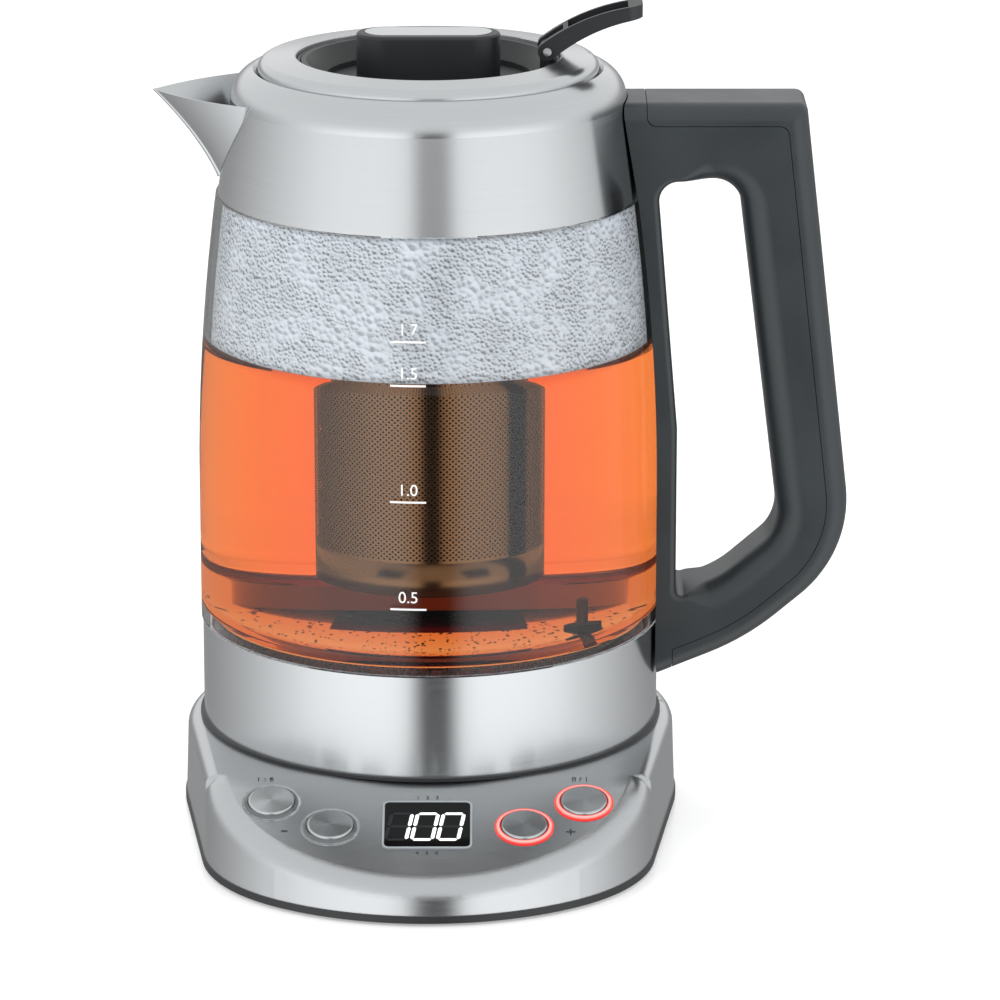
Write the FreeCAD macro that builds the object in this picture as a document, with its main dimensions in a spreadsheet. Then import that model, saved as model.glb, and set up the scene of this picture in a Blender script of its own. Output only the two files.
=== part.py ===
import FreeCAD, Part
import math
import os
from types import SimpleNamespace

import Sketcher

# Automatic tea maker: a glass kettle on a powered base, with a lid and a lift-out infuser.
# Millimetres. Z is up, the origin is on the table under the kettle's axis,
# the spout points along -X, the handle along +X and the control panel faces -Y.

V = FreeCAD.Vector

doc = FreeCAD.newDocument("TeaMaker")
sheet = doc.addObject("Spreadsheet::Sheet", "Sizes")


class Size:
    """A length or angle that knows its value and the sheet formula behind it."""

    def __init__(self, value, formula):
        self.value = value
        self.formula = formula

    def __add__(self, other):
        other = sized(other)
        return Size(self.value + other.value, f"({self.formula} + {other.formula})")

    def __radd__(self, other):
        return sized(other) + self

    def __sub__(self, other):
        other = sized(other)
        return Size(self.value - other.value, f"({self.formula} - {other.formula})")

    def __rsub__(self, other):
        return sized(other) - self

    def __mul__(self, other):
        other = sized(other)
        return Size(self.value * other.value, f"({self.formula} * {other.formula})")

    def __rmul__(self, other):
        return sized(other) * self

    def __truediv__(self, other):
        other = sized(other)
        return Size(self.value / other.value, f"({self.formula} / {other.formula})")

    def __neg__(self):
        return Size(-self.value, f"(0 - {self.formula})")


def sized(number):
    return number if isinstance(number, Size) else Size(float(number), f"{float(number)}")


def sine(angle):
    return Size(math.sin(math.radians(angle.value)), f"sin({angle.formula} * 1deg)")


def cosine(angle):
    return Size(math.cos(math.radians(angle.value)), f"cos({angle.formula} * 1deg)")


def tangent(angle):
    return Size(math.tan(math.radians(angle.value)), f"tan({angle.formula} * 1deg)")


def root(size):
    return Size(math.sqrt(size.value), f"sqrt({size.formula})")


# Driving dimensions
SIZES = {
    # Fits shared by many pieces
    "slip_gap": 0.3,
    "seat_gap": 0.1,
    "running_gap": 0.05,
    # Outline of the base, seen from above
    "back_radius": 78.0,
    "side_taper": 8.0,
    "corner_radius": 58.0,
    "front_radius": 78.0,
    "front_depth": 121.5,
    # Heights and walls of the base
    "foot_height": 1.0,
    "foot_depth": 1.0,
    "foot_inset": 7.0,
    "foot_width": 5.0,
    "pan_floor": 1.8,
    "lip_height": 2.2,
    "lip_proud": 0.4,
    "upstand_inset": 3.0,
    "upstand_wall": 1.5,
    "upstand_height": 5.0,
    "cover_top": 29.0,
    "cover_wall": 1.0,
    "cover_draft": 2.0,
    "back_crease_radius": 4.0,
    "front_crease_radius": 7.0,
    "panel_break": 71.5,
    "panel_slope": 18.0,
    "panel_bend": 40.0,
    # Buttons, their rings and the display
    "outer_button_across": 47.6,
    "outer_button_down": 11.8,
    "inner_button_across": 29.4,
    "inner_button_down": 23.9,
    "cap_radius": 7.0,
    "cap_height": 3.4,
    "cap_proud": 1.7,
    "cap_edge": 0.6,
    "button_travel": 0.8,
    "stem_radius": 1.8,
    "ring_width": 2.0,
    "ring_flange": 1.1,
    "ring_wall": 1.0,
    "ring_depth": 4.2,
    "display_width": 27.4,
    "display_height": 23.4,
    "display_down": 22.6,
    "display_corner": 2.2,
    "display_proud": 0.4,
    "display_thick": 2.2,
    "bezel_width": 0.7,
    "module_depth": 5.0,
    "board_drop": 9.0,
    "board_thick": 1.6,
    "board_width": 116.0,
    "board_back_depth": 26.0,
    "board_length": 34.0,
    "board_down": 17.0,
    "switch_side": 6.0,
    "switch_height": 3.2,
    # Dock that carries the kettle, and its connector
    "dock_radius": 73.2,
    "dock_flange": 1.0,
    "dock_ledge": 66.0,
    "dock_recess": 3.0,
    "dock_wall": 2.0,
    "cover_lap": 1.4,
    "boss_radius": 4.0,
    "boss_across": 42.0,
    "boss_front": 38.0,
    "boss_back": 42.0,
    "screw_radius": 1.5,
    "screw_head_radius": 3.0,
    "screw_head_height": 1.2,
    "screw_length": 12.0,
    "hub_radius": 15.0,
    "hub_height": 13.0,
    "hub_foot_radius": 20.0,
    "hub_foot_height": 2.0,
    "hub_well_radius": 4.0,
    "hub_well_depth": 8.0,
    "contact_width": 1.2,
    "contact_height": 0.6,
    "contact_first_radius": 6.6,
    "contact_pitch": 3.0,
    # Lead inlet in the back of the base
    "inlet_height": 10.0,
    "inlet_radius": 6.0,
    "inlet_bore": 3.3,
    "inlet_length": 14.0,
    "inlet_flange_radius": 8.0,
    "inlet_flange": 1.6,
    "supply_width": 42.0,
    "supply_depth": 24.0,
    "supply_height": 14.0,
    "supply_back": 42.0,
    # Steel band and underside of the kettle
    "band_radius": 72.0,
    "band_wall": 1.0,
    "band_height": 32.0,
    "underside_lift": 1.0,
    "underside_wall": 2.0,
    "underside_skirt": 1.5,
    "socket_wall": 4.0,
    "socket_roof": 3.0,
    "floor_height": 52.0,
    "floor_wall": 1.2,
    "floor_rim_height": 60.0,
    "seal_radial": 1.6,
    "seal_height": 2.2,
    "spreader_radius": 54.0,
    "spreader_thick": 2.2,
    "element_radius": 42.0,
    "element_tube": 3.5,
    "element_gap_angle": 70.0,
    "element_gap_centre": 46.0,
    "cutout_width": 22.0,
    "probe_x": 30.0,
    "probe_y": 31.0,
    "probe_radius": 1.1,
    "probe_height": 8.0,
    "probe_flange_radius": 3.5,
    "probe_flange": 2.0,
    "probe_tail": 6.0,
    # Glass
    "glass_radius": 72.5,
    "glass_wall": 2.8,
    "glass_bend": 105.0,
    "glass_top": 198.0,
    "neck_radius": 66.2,
    # Collar
    "collar_foot_radius": 65.5,
    "collar_lap": 0.3,
    "collar_wall": 1.0,
    "shoulder_height": 227.5,
    "shoulder_outer": 61.3,
    "collar_top": 237.2,
    "shoulder_radius": 10.0,
    "mouth_radius": 54.2,
    "seat_height": 233.2,
    "seat_radius": 48.0,
    "skirt_foot": 224.0,
    "shoulder_seam": 0.4,
    "shoulder_rise": 0.2,
    "sleeve_clearance": 0.9,
    "sleeve_wall": 1.0,
    "sleeve_depth": 4.0,
    "neck_seal_height": 2.0,
    # Spout
    "spout_rim": 230.0,
    "spout_foot": 202.5,
    "spout_reach": 85.3,
    "spout_half_width": 28.0,
    "spout_wall": 1.0,
    "spout_foot_half_width": 0.6,
    "spout_foot_reach": 0.3,
    "spout_root_depth": 4.0,
    "spout_nose": 1.6,
    "window_half_width": 18.0,
    "window_top": 228.5,
    "window_spring": 224.0,
    "filter_wall": 1.4,
    "filter_frame": 3.0,
    "filter_mesh": 0.5,
    # Handle
    "handle_top": 228.0,
    "handle_width": 31.0,
    "handle_back": 116.5,
    "bow_x": 133.1,
    "bow_height": 84.0,
    "bow_radius": 40.0,
    "heel_x": 99.7,
    "heel_height": 55.6,
    "heel_radius": 80.0,
    "toe_x": 60.0,
    "toe_height": 39.3,
    "opening_top": 203.7,
    "opening_back": 95.9,
    "opening_bow_x": 110.0,
    "opening_bow_height": 91.5,
    "opening_bow_radius": 14.0,
    "opening_heel_x": 91.5,
    "opening_heel_height": 75.5,
    "opening_heel_radius": 30.0,
    "opening_foot": 69.6,
    "opening_front": 77.4,
    "opening_knee": 125.0,
    "opening_neck_x": 70.7,
    "opening_back_radius": 9.0,
    "opening_front_radius": 6.0,
    "opening_toe_radius": 2.0,
    "spine_thick": 6.5,
    "spine_start": 67.3,
    "spine_foot": 76.6,
    "spine_corner": 3.0,
    "handle_edge": 5.5,
    "grip_edge_round": 8.0,
    "strap_edge_round": 2.0,
    "strap_reach": 2.0,
    "handle_gap": 0.2,
    "handle_screw_radius": 1.5,
    "handle_screw_head": 2.2,
    "handle_screw_head_height": 1.8,
    "handle_screw_length": 9.0,
    "handle_screw_upper": 214.0,
    "handle_screw_lower": 48.4,
    # Lid
    "lid_radius": 52.7,
    "lid_shoulder": 237.2,
    "lid_edge_radius": 3.0,
    "lid_crown": 241.2,
    "lid_opening": 40.7,
    "lid_lip_radius": 1.0,
    "lid_lip_foot": 237.0,
    "lid_wall": 1.0,
    "lid_bore": 39.6,
    "lid_tube_wall": 1.8,
    "lid_riser_wall": 0.9,
    "lid_riser_top": 239.5,
    "lid_web": 2.0,
    "lid_plug_wall": 1.5,
    "lid_plug_foot": 222.5,
    "lid_ledge": 228.2,
    "lid_ledge_bore": 36.4,
    "lid_ledge_thick": 2.0,
    "gasket_groove": 0.7,
    "gasket_proud": 0.1,
    "gasket_foot": 225.5,
    "gasket_height": 3.0,
    # Infuser
    "infuser_flange_radius": 38.6,
    "infuser_wall": 0.8,
    "infuser_neck": 35.9,
    "infuser_cone_top": 222.0,
    "infuser_cone_foot": 212.0,
    "infuser_top_radius": 27.4,
    "infuser_foot_radius": 26.6,
    "infuser_foot": 77.4,
    "recess_top": 239.6,
    "recess_edge": 1.5,
    "recess_radius": 33.5,
    "recess_foot": 233.5,
    "recess_lip": 2.2,
    "recess_floor": 231.0,
    # Inner lid of the infuser
    "plate_thick": 2.0,
    "plate_rim": 1.2,
    "plate_rim_height": 1.6,
    "grip_half_length": 22.2,
    "grip_half_width": 9.2,
    "grip_top": 248.0,
    "grip_edge": 1.0,
    "inlay_inset": 2.6,
    "inlay_depth": 0.8,
    "inlay_proud": 0.2,
    # Lever of the infuser
    "pivot_x": 36.6,
    "pivot_height": 243.0,
    "pin_radius": 1.3,
    "pin_proud": 0.8,
    "lever_half_width": 6.6,
    "lever_wall": 1.4,
    "lever_floor": 1.6,
    "lever_eye": 2.9,
    "lever_back_x": 34.6,
    "lever_back_height": 245.1,
    "lever_heel_x": 38.2,
    "lever_heel_height": 240.6,
    "lever_tip_x": 66.0,
    "lever_tip_under": 253.2,
    "lever_tip_top": 257.3,
    "lever_under_radius": 56.0,
    "lever_top_radius": 61.0,
    "lever_slot_end": 41.5,
    "lever_channel_start": 43.0,
    "lever_channel_end": 61.5,
    "lever_tip_radius": 4.6,
    "tongue_half_width": 3.6,
    "tongue_half_thick": 2.2,
    "tongue_foot": 233.8,
}

for row, (name, value) in enumerate(SIZES.items(), start=1):
    sheet.set(f"A{row}", name)
    sheet.set(f"B{row}", str(value))
    sheet.setAlias(f"B{row}", name)
doc.recompute()

size = SimpleNamespace(**{name: Size(value, f"Sizes.{name}") for name, value in SIZES.items()})

pieces = {}


def keep(name, piece):
    """Name a finished piece; the name is its node and its file."""
    piece.Label = name
    pieces[name] = piece
    return piece


# Sketches and features

def body_named(name):
    return doc.addObject("PartDesign::Body", name)


def sketch_on(body, role, lift=None):
    """A sketch on one of the body's own origin planes, raised along its normal."""
    sketch = body.newObject("Sketcher::SketchObject", body.Name + "_sketch")
    plane = next(item for item in body.Origin.OriginFeatures if item.Role == role)
    sketch.AttachmentSupport = [(plane, "")]
    sketch.MapMode = "FlatFace"
    if lift is not None:
        lift = sized(lift)
        sketch.AttachmentOffset = FreeCAD.Placement(V(0, 0, lift.value), FreeCAD.Rotation())
        sketch.setExpression("AttachmentOffset.Base.z", lift.formula)
    return sketch


def bind(sketch, kind, *members, to):
    number = sketch.addConstraint(Sketcher.Constraint(kind, *members, to.value))
    sketch.setExpression(f"Constraints[{number}]", to.formula)


def fix_coordinate(sketch, kind, edge, end, along):
    """Hold a sketch point at a bound distance from one axis, or on the axis itself."""
    if abs(along.value) < 1e-9:
        axis = -2 if kind == "DistanceX" else -1
        sketch.addConstraint(Sketcher.Constraint("PointOnObject", edge, end, axis))
    else:
        bind(sketch, kind, -1, 1, edge, end, to=along)


def fix_point(sketch, edge, end, point):
    fix_coordinate(sketch, "DistanceX", edge, end, point[0])
    fix_coordinate(sketch, "DistanceY", edge, end, point[1])


def arc_between(start, finish, radius, turn):
    """Arc of a given radius from start to finish, turning left for +1 and right for -1."""
    chord = finish - start
    middle = (start + finish) * 0.5
    rise = math.sqrt(max(radius ** 2 - (chord.Length / 2) ** 2, 0.0))
    left = V(-chord.y, chord.x, 0).normalize()
    centre = middle + left * rise * turn
    if turn < 0:
        start, finish = finish, start
    first = math.atan2(start.y - centre.y, start.x - centre.x)
    last = math.atan2(finish.y - centre.y, finish.x - centre.x)
    return Part.ArcOfCircle(Part.Circle(centre, V(0, 0, 1), radius), first, last)


def draw(sketch, corners, arcs=None):
    """Closed outline through corners; arcs gives an edge's radius and turn by its number."""
    arcs = arcs or {}
    corners = [(sized(x), sized(y)) for x, y in corners]
    count = len(corners)
    offset = sketch.GeometryCount
    ends = []
    for index, (x, y) in enumerate(corners):
        after = corners[(index + 1) % count]
        start = V(x.value, y.value, 0)
        finish = V(after[0].value, after[1].value, 0)
        if index in arcs:
            radius, turn = arcs[index]
            sketch.addGeometry(arc_between(start, finish, radius.value, turn))
            ends.append((1, 2) if turn > 0 else (2, 1))
        else:
            sketch.addGeometry(Part.LineSegment(start, finish))
            ends.append((1, 2))
    for index in range(count):
        after = (index + 1) % count
        sketch.addConstraint(Sketcher.Constraint(
            "Coincident", offset + index, ends[index][1], offset + after, ends[after][0]))
    for index, corner in enumerate(corners):
        fix_point(sketch, offset + index, ends[index][0], corner)
    for index, (radius, turn) in arcs.items():
        start, finish = corners[index], corners[(index + 1) % count]
        across = finish[0].value - start[0].value
        along = finish[1].value - start[1].value
        half_turn = abs(math.hypot(across, along) - 2 * radius.value) < 1e-6
        if half_turn and abs(along) < 1e-9:
            fix_coordinate(sketch, "DistanceY", offset + index, 3, start[1])
        elif half_turn:
            fix_coordinate(sketch, "DistanceX", offset + index, 3, start[0])
        else:
            bind(sketch, "Radius", offset + index, to=radius)
    return sketch


def turned(name, corners, arcs=None):
    """A body turned round the Z axis from an outline of radius and height."""
    body = body_named(name)
    sketch = draw(sketch_on(body, "XZ_Plane"), corners, arcs)
    feature = body.newObject("PartDesign::Revolution", name + "_turn")
    feature.Profile = sketch
    feature.ReferenceAxis = (sketch, ["V_Axis"])
    feature.Angle = 360
    return body


def padded(body, sketch, length, taper=None, midplane=False, flip=False):
    feature = body.newObject("PartDesign::Pad", body.Name + "_pad")
    feature.Profile = sketch
    feature.Length = length.value
    feature.setExpression("Length", length.formula)
    feature.Midplane = midplane
    feature.Reversed = flip
    if taper is not None:
        feature.TaperAngle = -taper.value
        feature.setExpression("TaperAngle", (-taper).formula)
    return feature


def prism(name, corners, base, height, arcs=None):
    """An outline on the XY plane, raised from base by height."""
    body = body_named(name)
    padded(body, draw(sketch_on(body, "XY_Plane", base), corners, arcs), height)
    return body


def slab(name, corners, width, arcs=None):
    """An outline of X and Z, given an equal width to both sides of the XZ plane."""
    body = body_named(name)
    padded(body, draw(sketch_on(body, "XZ_Plane"), corners, arcs), width, midplane=True)
    return body


def place(piece, x=0, y=0, z=0, axis=None, angle=None):
    x, y, z = sized(x), sized(y), sized(z)
    turn = FreeCAD.Rotation() if axis is None else FreeCAD.Rotation(axis, angle.value)
    piece.Placement = FreeCAD.Placement(V(x.value, y.value, z.value), turn)
    piece.setExpression("Placement.Base.x", x.formula)
    piece.setExpression("Placement.Base.y", y.formula)
    piece.setExpression("Placement.Base.z", z.formula)
    if axis is not None:
        piece.setExpression("Placement.Rotation.Angle", angle.formula)
    return piece


def cylinder(name, radius, height, x=0, y=0, z=0, axis=None, angle=None):
    piece = doc.addObject("Part::Cylinder", name)
    for key, value in (("Radius", sized(radius)), ("Height", sized(height))):
        setattr(piece, key, value.value)
        piece.setExpression(key, value.formula)
    return place(piece, x, y, z, axis, angle)


def block(name, length, width, height, x=0, y=0, z=0):
    piece = doc.addObject("Part::Box", name)
    for key, value in (("Length", length), ("Width", width), ("Height", height)):
        value = sized(value)
        setattr(piece, key, value.value)
        piece.setExpression(key, value.formula)
    return place(piece, x, y, z)


def cut(name, base, *tools):
    piece = doc.addObject("Part::Cut", name)
    piece.Base = base
    piece.Tool = tools[0] if len(tools) == 1 else fuse(name + "_tools", *tools)
    return piece


def fuse(name, *parts):
    piece = doc.addObject("Part::MultiFuse", name)
    piece.Shapes = list(parts)
    return piece


def common(name, *parts):
    piece = doc.addObject("Part::MultiCommon", name)
    piece.Shapes = list(parts)
    return piece


def group(name, parts):
    """Separate like solids that share one node."""
    piece = doc.addObject("Part::Compound", name)
    piece.Links = list(parts)
    return piece


X_AXIS, Y_AXIS, Z_AXIS = V(1, 0, 0), V(0, 1, 0), V(0, 0, 1)
QUARTER = sized(90)

# Cutting tools end this many times as far out as what they cut
BEYOND = 1.5

# Two places nearer than this are the same
CLOSE = 0.01


# Control panel: places measured across the panel, down its slope and up from its face

def on_panel(piece, across, down, up=0):
    slope = size.panel_slope
    down, up = sized(down), sized(up)
    y = -(size.panel_break + down * cosine(slope)) - up * sine(slope)
    z = size.cover_top - down * sine(slope) + up * cosine(slope)
    return place(piece, across, y, z, X_AXIS, slope)


ring_radius = size.cap_radius + size.ring_width
BUTTONS = {
    "program": (-size.outer_button_across, size.outer_button_down),
    "minus": (-size.inner_button_across, size.inner_button_down),
    "plus": (size.inner_button_across, size.inner_button_down),
    "power": (size.outer_button_across, size.outer_button_down),
}


# Outline of the base: a back arc round the kettle, tapered sides, round corners, a flat front arc

def base_outline(sketch, inset):
    inset = sized(inset)
    back = size.back_radius - inset
    corner = size.corner_radius - inset
    front = size.front_radius - inset
    front_centre = V(0, -(size.front_depth.value - size.front_radius.value), 0)
    lean = math.radians(size.side_taper.value)
    normal = V(math.cos(lean), -math.sin(lean), 0)
    run = V(-math.sin(lean), -math.cos(lean), 0)
    start = normal * (size.back_radius.value - size.corner_radius.value) - front_centre
    reach = size.front_radius.value - size.corner_radius.value
    along = start.dot(run)
    travel = -along + math.sqrt(along ** 2 - start.Length ** 2 + reach ** 2)
    centre = normal * (size.back_radius.value - size.corner_radius.value) + run * travel
    towards = (centre - front_centre).normalize()
    meet = math.atan2(towards.y, towards.x)

    def arc(middle, radius, first, last):
        return Part.ArcOfCircle(Part.Circle(middle, Z_AXIS, radius), first, last)

    mirrored = V(-centre.x, centre.y, 0)
    sketch.addGeometry(arc(V(0, 0, 0), back.value, -lean, math.pi + lean))
    sketch.addGeometry(Part.LineSegment(V(-normal.x, normal.y, 0) * back.value,
                                        mirrored + V(-normal.x, normal.y, 0) * corner.value))
    sketch.addGeometry(arc(mirrored, corner.value, math.pi + lean, math.pi - meet))
    sketch.addGeometry(arc(front_centre, front.value, math.pi - meet, 2 * math.pi + meet))
    sketch.addGeometry(arc(centre, corner.value, meet, -lean))
    sketch.addGeometry(Part.LineSegment(centre + normal * corner.value, normal * back.value))
    joints = ((0, 2, 1, 1), (1, 2, 2, 1), (2, 2, 3, 1), (3, 2, 4, 1), (4, 2, 5, 1), (5, 2, 0, 1))
    for joint in joints:
        sketch.addConstraint(Sketcher.Constraint("Tangent", *joint))
    sketch.addConstraint(Sketcher.Constraint("Coincident", 0, 3, -1, 1))
    sketch.addConstraint(Sketcher.Constraint("PointOnObject", 3, 3, -2))
    bind(sketch, "DistanceY", -1, 1, 3, 3, to=size.front_radius - size.front_depth)
    for edge, radius in ((0, back), (2, corner), (3, front), (4, corner)):
        bind(sketch, "Radius", edge, to=radius)
    bind(sketch, "DistanceX", 0, 1, to=back * cosine(size.side_taper))
    bind(sketch, "DistanceX", 0, 2, to=-(back * cosine(size.side_taper)))
    return sketch


def base_slab(name, inset, base, height, taper=None):
    body = body_named(name)
    padded(body, base_outline(sketch_on(body, "XY_Plane", base), inset), height, taper)
    return body


def panel_cutter(name, drop):
    """Everything above the top of the base, at a given depth below its surface."""
    slope = size.panel_slope
    half = size.panel_bend * tangent(slope / 2)
    drop = sized(drop)
    top = size.cover_top - drop
    radius = size.panel_bend - drop
    bend_back = -(size.panel_break - half)
    bend_y = bend_back - radius * sine(slope)
    bend_z = top - radius * (1 - cosine(slope))
    far = size.front_depth * 2
    sky = size.cover_top * 3
    body = body_named(name)
    sketch = sketch_on(body, "YZ_Plane")
    draw(sketch, [
        (far, top),
        (bend_back, top),
        (bend_y, bend_z),
        (-far, bend_z - (far + bend_y) * tangent(slope)),
        (-far, sky),
        (far, sky),
    ], {1: (radius, 1)})
    padded(body, sketch, far * 2, midplane=True)
    return body


def crease_rows(shape, foot, drop):
    """Edges round the top of the base with their radii; seams and bends across it stay."""

    def radius_at(point, drop):
        on_top = point.z > size.cover_top.value - drop - CLOSE
        outer = size.back_crease_radius if on_top else size.front_crease_radius
        return outer.value - drop

    rows = []
    for number, edge in enumerate(shape.Edges, start=1):
        ends = [vertex.Point for vertex in edge.Vertexes]
        low = min(point.z for point in ends)
        level = abs(ends[0].z - ends[-1].z) < CLOSE
        across = len(ends) == 2 and level and abs(ends[0].y - ends[1].y) < CLOSE
        if low > foot + CLOSE and not across:
            first, last = edge.valueAt(edge.FirstParameter), edge.valueAt(edge.LastParameter)
            rows.append((number, radius_at(first, drop), radius_at(last, drop)))
    return rows


pan_top = size.foot_height + size.lip_height


def cover_form(name, inset):
    """The base cover's form, inset all round and lowered alike, with its crease rounded."""
    inset = sized(inset)
    rough = base_slab(name + "_block", inset, pan_top, size.cover_top, size.cover_draft)
    trimmed = cut(name + "_trimmed", rough, panel_cutter(name + "_sky", inset))
    doc.recompute()
    rounded = doc.addObject("Part::Fillet", name)
    rounded.Base = trimmed
    rounded.Edges = crease_rows(trimmed.Shape, pan_top.value, inset.value)
    return rounded


def inlet_hole(name):
    """Hole for the lead inlet, through the back of the base."""
    return cylinder(name, size.inlet_radius + size.seat_gap, size.back_radius, 0,
                    size.back_radius * BEYOND, size.inlet_height, X_AXIS, QUARTER)


def base_cover():
    outer = cover_form("cover_outside", 0)
    inner = cover_form("cover_inside", size.cover_wall)
    tools = [cylinder("dock_hole", size.dock_radius - size.cover_lap, size.cover_top * 2)]
    ring_hole = ring_radius - size.ring_wall + size.seat_gap
    for button, (across, down) in BUTTONS.items():
        hole = cylinder(f"{button}_hole", ring_hole, size.cover_top)
        tools.append(on_panel(hole, across, down, -size.cover_top / 2))
    tools.append(display_slab("display_hole", size.seat_gap, size.display_thick * 2,
                              -size.display_thick))
    tools.append(inlet_hole("inlet_hole"))
    keep("base_cover", cut("base_cover", outer, inner, *tools))


def display_slab(name, grow, thick, up, inset=None):
    """A rounded rectangle on the panel, grown all round, from a height above its face."""
    inset = sized(0) if inset is None else inset
    half_width = size.display_width / 2 + grow - inset
    half_height = size.display_height / 2 + grow - inset
    corner = size.display_corner + grow - inset
    body = body_named(name)
    sketch = sketch_on(body, "XY_Plane")
    draw(sketch, [
        (half_width, -half_height + corner),
        (half_width, half_height - corner),
        (half_width - corner, half_height),
        (-half_width + corner, half_height),
        (-half_width, half_height - corner),
        (-half_width, -half_height + corner),
        (-half_width + corner, -half_height),
        (half_width - corner, -half_height),
    ], {1: (corner, 1), 3: (corner, 1), 5: (corner, 1), 7: (corner, 1)})
    padded(body, sketch, sized(thick))
    return on_panel(body, 0, size.display_down, up)


# Pan, foot ring and screws under the base

def base_pan():
    lip = base_slab("pan_lip", -size.lip_proud, size.foot_height, size.lip_height)
    dish = base_slab("pan_dish", size.upstand_inset + size.upstand_wall,
                     size.foot_height + size.pan_floor, size.cover_top)
    upstand = base_slab("pan_upstand", size.upstand_inset, pan_top, size.upstand_height)
    groove = cut("pan_groove",
                 base_slab("groove_outer", size.foot_inset, 0, size.foot_height + size.foot_depth),
                 base_slab("groove_inner", size.foot_inset + size.foot_width, 0,
                           size.foot_height + size.foot_depth))
    tools = [dish, groove]
    for number, (x, y) in enumerate(boss_places()):
        tools.append(cylinder(f"pan_screw_hole_{number}", size.screw_radius + size.slip_gap,
                              pan_top, x, y))
        tools.append(cylinder(f"pan_head_hole_{number}", size.screw_head_radius + size.slip_gap,
                              size.foot_height + size.screw_head_height, x, y))
    tools.append(inlet_hole("pan_inlet_hole"))
    tools.append(panel_cutter("pan_sky", size.cover_wall + size.slip_gap))
    keep("base_pan", cut("base_pan", fuse("pan_solid", lip, upstand), *tools))


def foot_ring():
    height = size.foot_height + size.foot_depth
    outer = base_slab("foot_outer", size.foot_inset, 0, height)
    inner = base_slab("foot_inner", size.foot_inset + size.foot_width, 0, height)
    keep("foot_ring", cut("foot_ring", outer, inner))


def boss_places():
    return [(size.boss_across, -size.boss_front), (-size.boss_across, -size.boss_front),
            (size.boss_across, size.boss_back), (-size.boss_across, size.boss_back)]


def pan_screws():
    screws = []
    head_top = size.foot_height + size.screw_head_height
    for number, (x, y) in enumerate(boss_places()):
        head = cylinder(f"pan_head_{number}", size.screw_head_radius, size.screw_head_height,
                        x, y, size.foot_height)
        shank = cylinder(f"pan_shank_{number}", size.screw_radius, size.screw_length,
                         x, y, head_top)
        screws.append(fuse(f"pan_screw_{number}", head, shank))
    keep("pan_screws", group("pan_screws", screws))


# Dock: the round plate that clamps the cover and carries the kettle

dock_top = size.cover_top + size.dock_flange
dock_floor = dock_top - size.dock_recess


def dock_plate():
    neck = size.dock_radius - size.cover_lap - size.seat_gap
    under = size.cover_top - size.cover_wall - size.dock_wall
    plate = turned("dock_turned", [
        (0, dock_floor - size.dock_wall),
        (size.dock_ledge, dock_floor - size.dock_wall),
        (size.dock_ledge, under),
        (neck, under),
        (neck, size.cover_top),
        (size.dock_radius, size.cover_top),
        (size.dock_radius, dock_top),
        (size.dock_ledge, dock_top),
        (size.dock_ledge - size.dock_wall, dock_floor),
        (0, dock_floor),
    ])
    floor = size.foot_height + size.pan_floor
    bosses = []
    holes = []
    for number, (x, y) in enumerate(boss_places()):
        bosses.append(cylinder(f"boss_{number}", size.boss_radius,
                               dock_floor - size.dock_wall - floor, x, y, floor))
        holes.append(cylinder(f"boss_hole_{number}", size.screw_radius + size.running_gap,
                              size.screw_length, x, y, floor))
    holes.append(cylinder("hub_hole", size.hub_foot_radius + size.seat_gap,
                          size.cover_top * 2))
    keep("dock_plate", cut("dock_plate", fuse("dock_solid", plate, *bosses), *holes))


def connector_hub():
    foot = dock_floor - size.dock_wall
    top = dock_floor + size.hub_height
    hub = turned("hub_turned", [
        (0, foot),
        (size.hub_foot_radius, foot),
        (size.hub_foot_radius, foot + size.dock_wall + size.hub_foot_height),
        (size.hub_radius, foot + size.dock_wall + size.hub_foot_height),
        (size.hub_radius, top - size.cap_edge),
        (size.hub_radius - size.cap_edge, top),
        (size.hub_well_radius, top),
        (size.hub_well_radius, top - size.hub_well_depth),
        (0, top - size.hub_well_depth),
    ])
    grooves = [contact_ring(f"groove_{number}", number, size.contact_height)
               for number in range(3)]
    keep("connector_hub", cut("connector_hub", hub, *grooves))


def contact_ring(name, number, height):
    inner = size.contact_first_radius + size.contact_pitch * number
    outer = inner + size.contact_width
    top = dock_floor + size.hub_height
    return turned(name, [(inner, top - height), (outer, top - height), (outer, top), (inner, top)])


def hub_contacts():
    rings = [contact_ring(f"contact_{number}", number, size.contact_height)
             for number in range(3)]
    keep("hub_contacts", group("hub_contacts", rings))


# Controls under the panel

def button_pieces():
    for button, (across, down) in BUTTONS.items():
        top = size.cap_proud
        foot = top - size.cap_height
        stem = -(size.board_drop - size.switch_height - size.button_travel - size.seat_gap)
        cap = turned(f"{button}_cap_turned", [
            (0, stem),
            (size.stem_radius, stem),
            (size.stem_radius, foot),
            (size.cap_radius, foot),
            (size.cap_radius, top - size.cap_edge),
            (size.cap_radius - size.cap_edge, top),
            (0, top),
        ], {4: (size.cap_edge, 1)})
        keep(f"{button}_button", on_panel(cap, across, down))
        bore = size.cap_radius + size.slip_gap
        sleeve = ring_radius - size.ring_wall
        ring = turned(f"{button}_ring_turned", [
            (bore, -size.ring_depth),
            (sleeve, -size.ring_depth),
            (sleeve, 0),
            (ring_radius, 0),
            (ring_radius, size.ring_flange / 2),
            (bore + (sleeve - bore) / 2, size.ring_flange),
            (bore, size.ring_flange),
        ])
        keep(f"{button}_light_ring", on_panel(ring, across, down))


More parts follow.
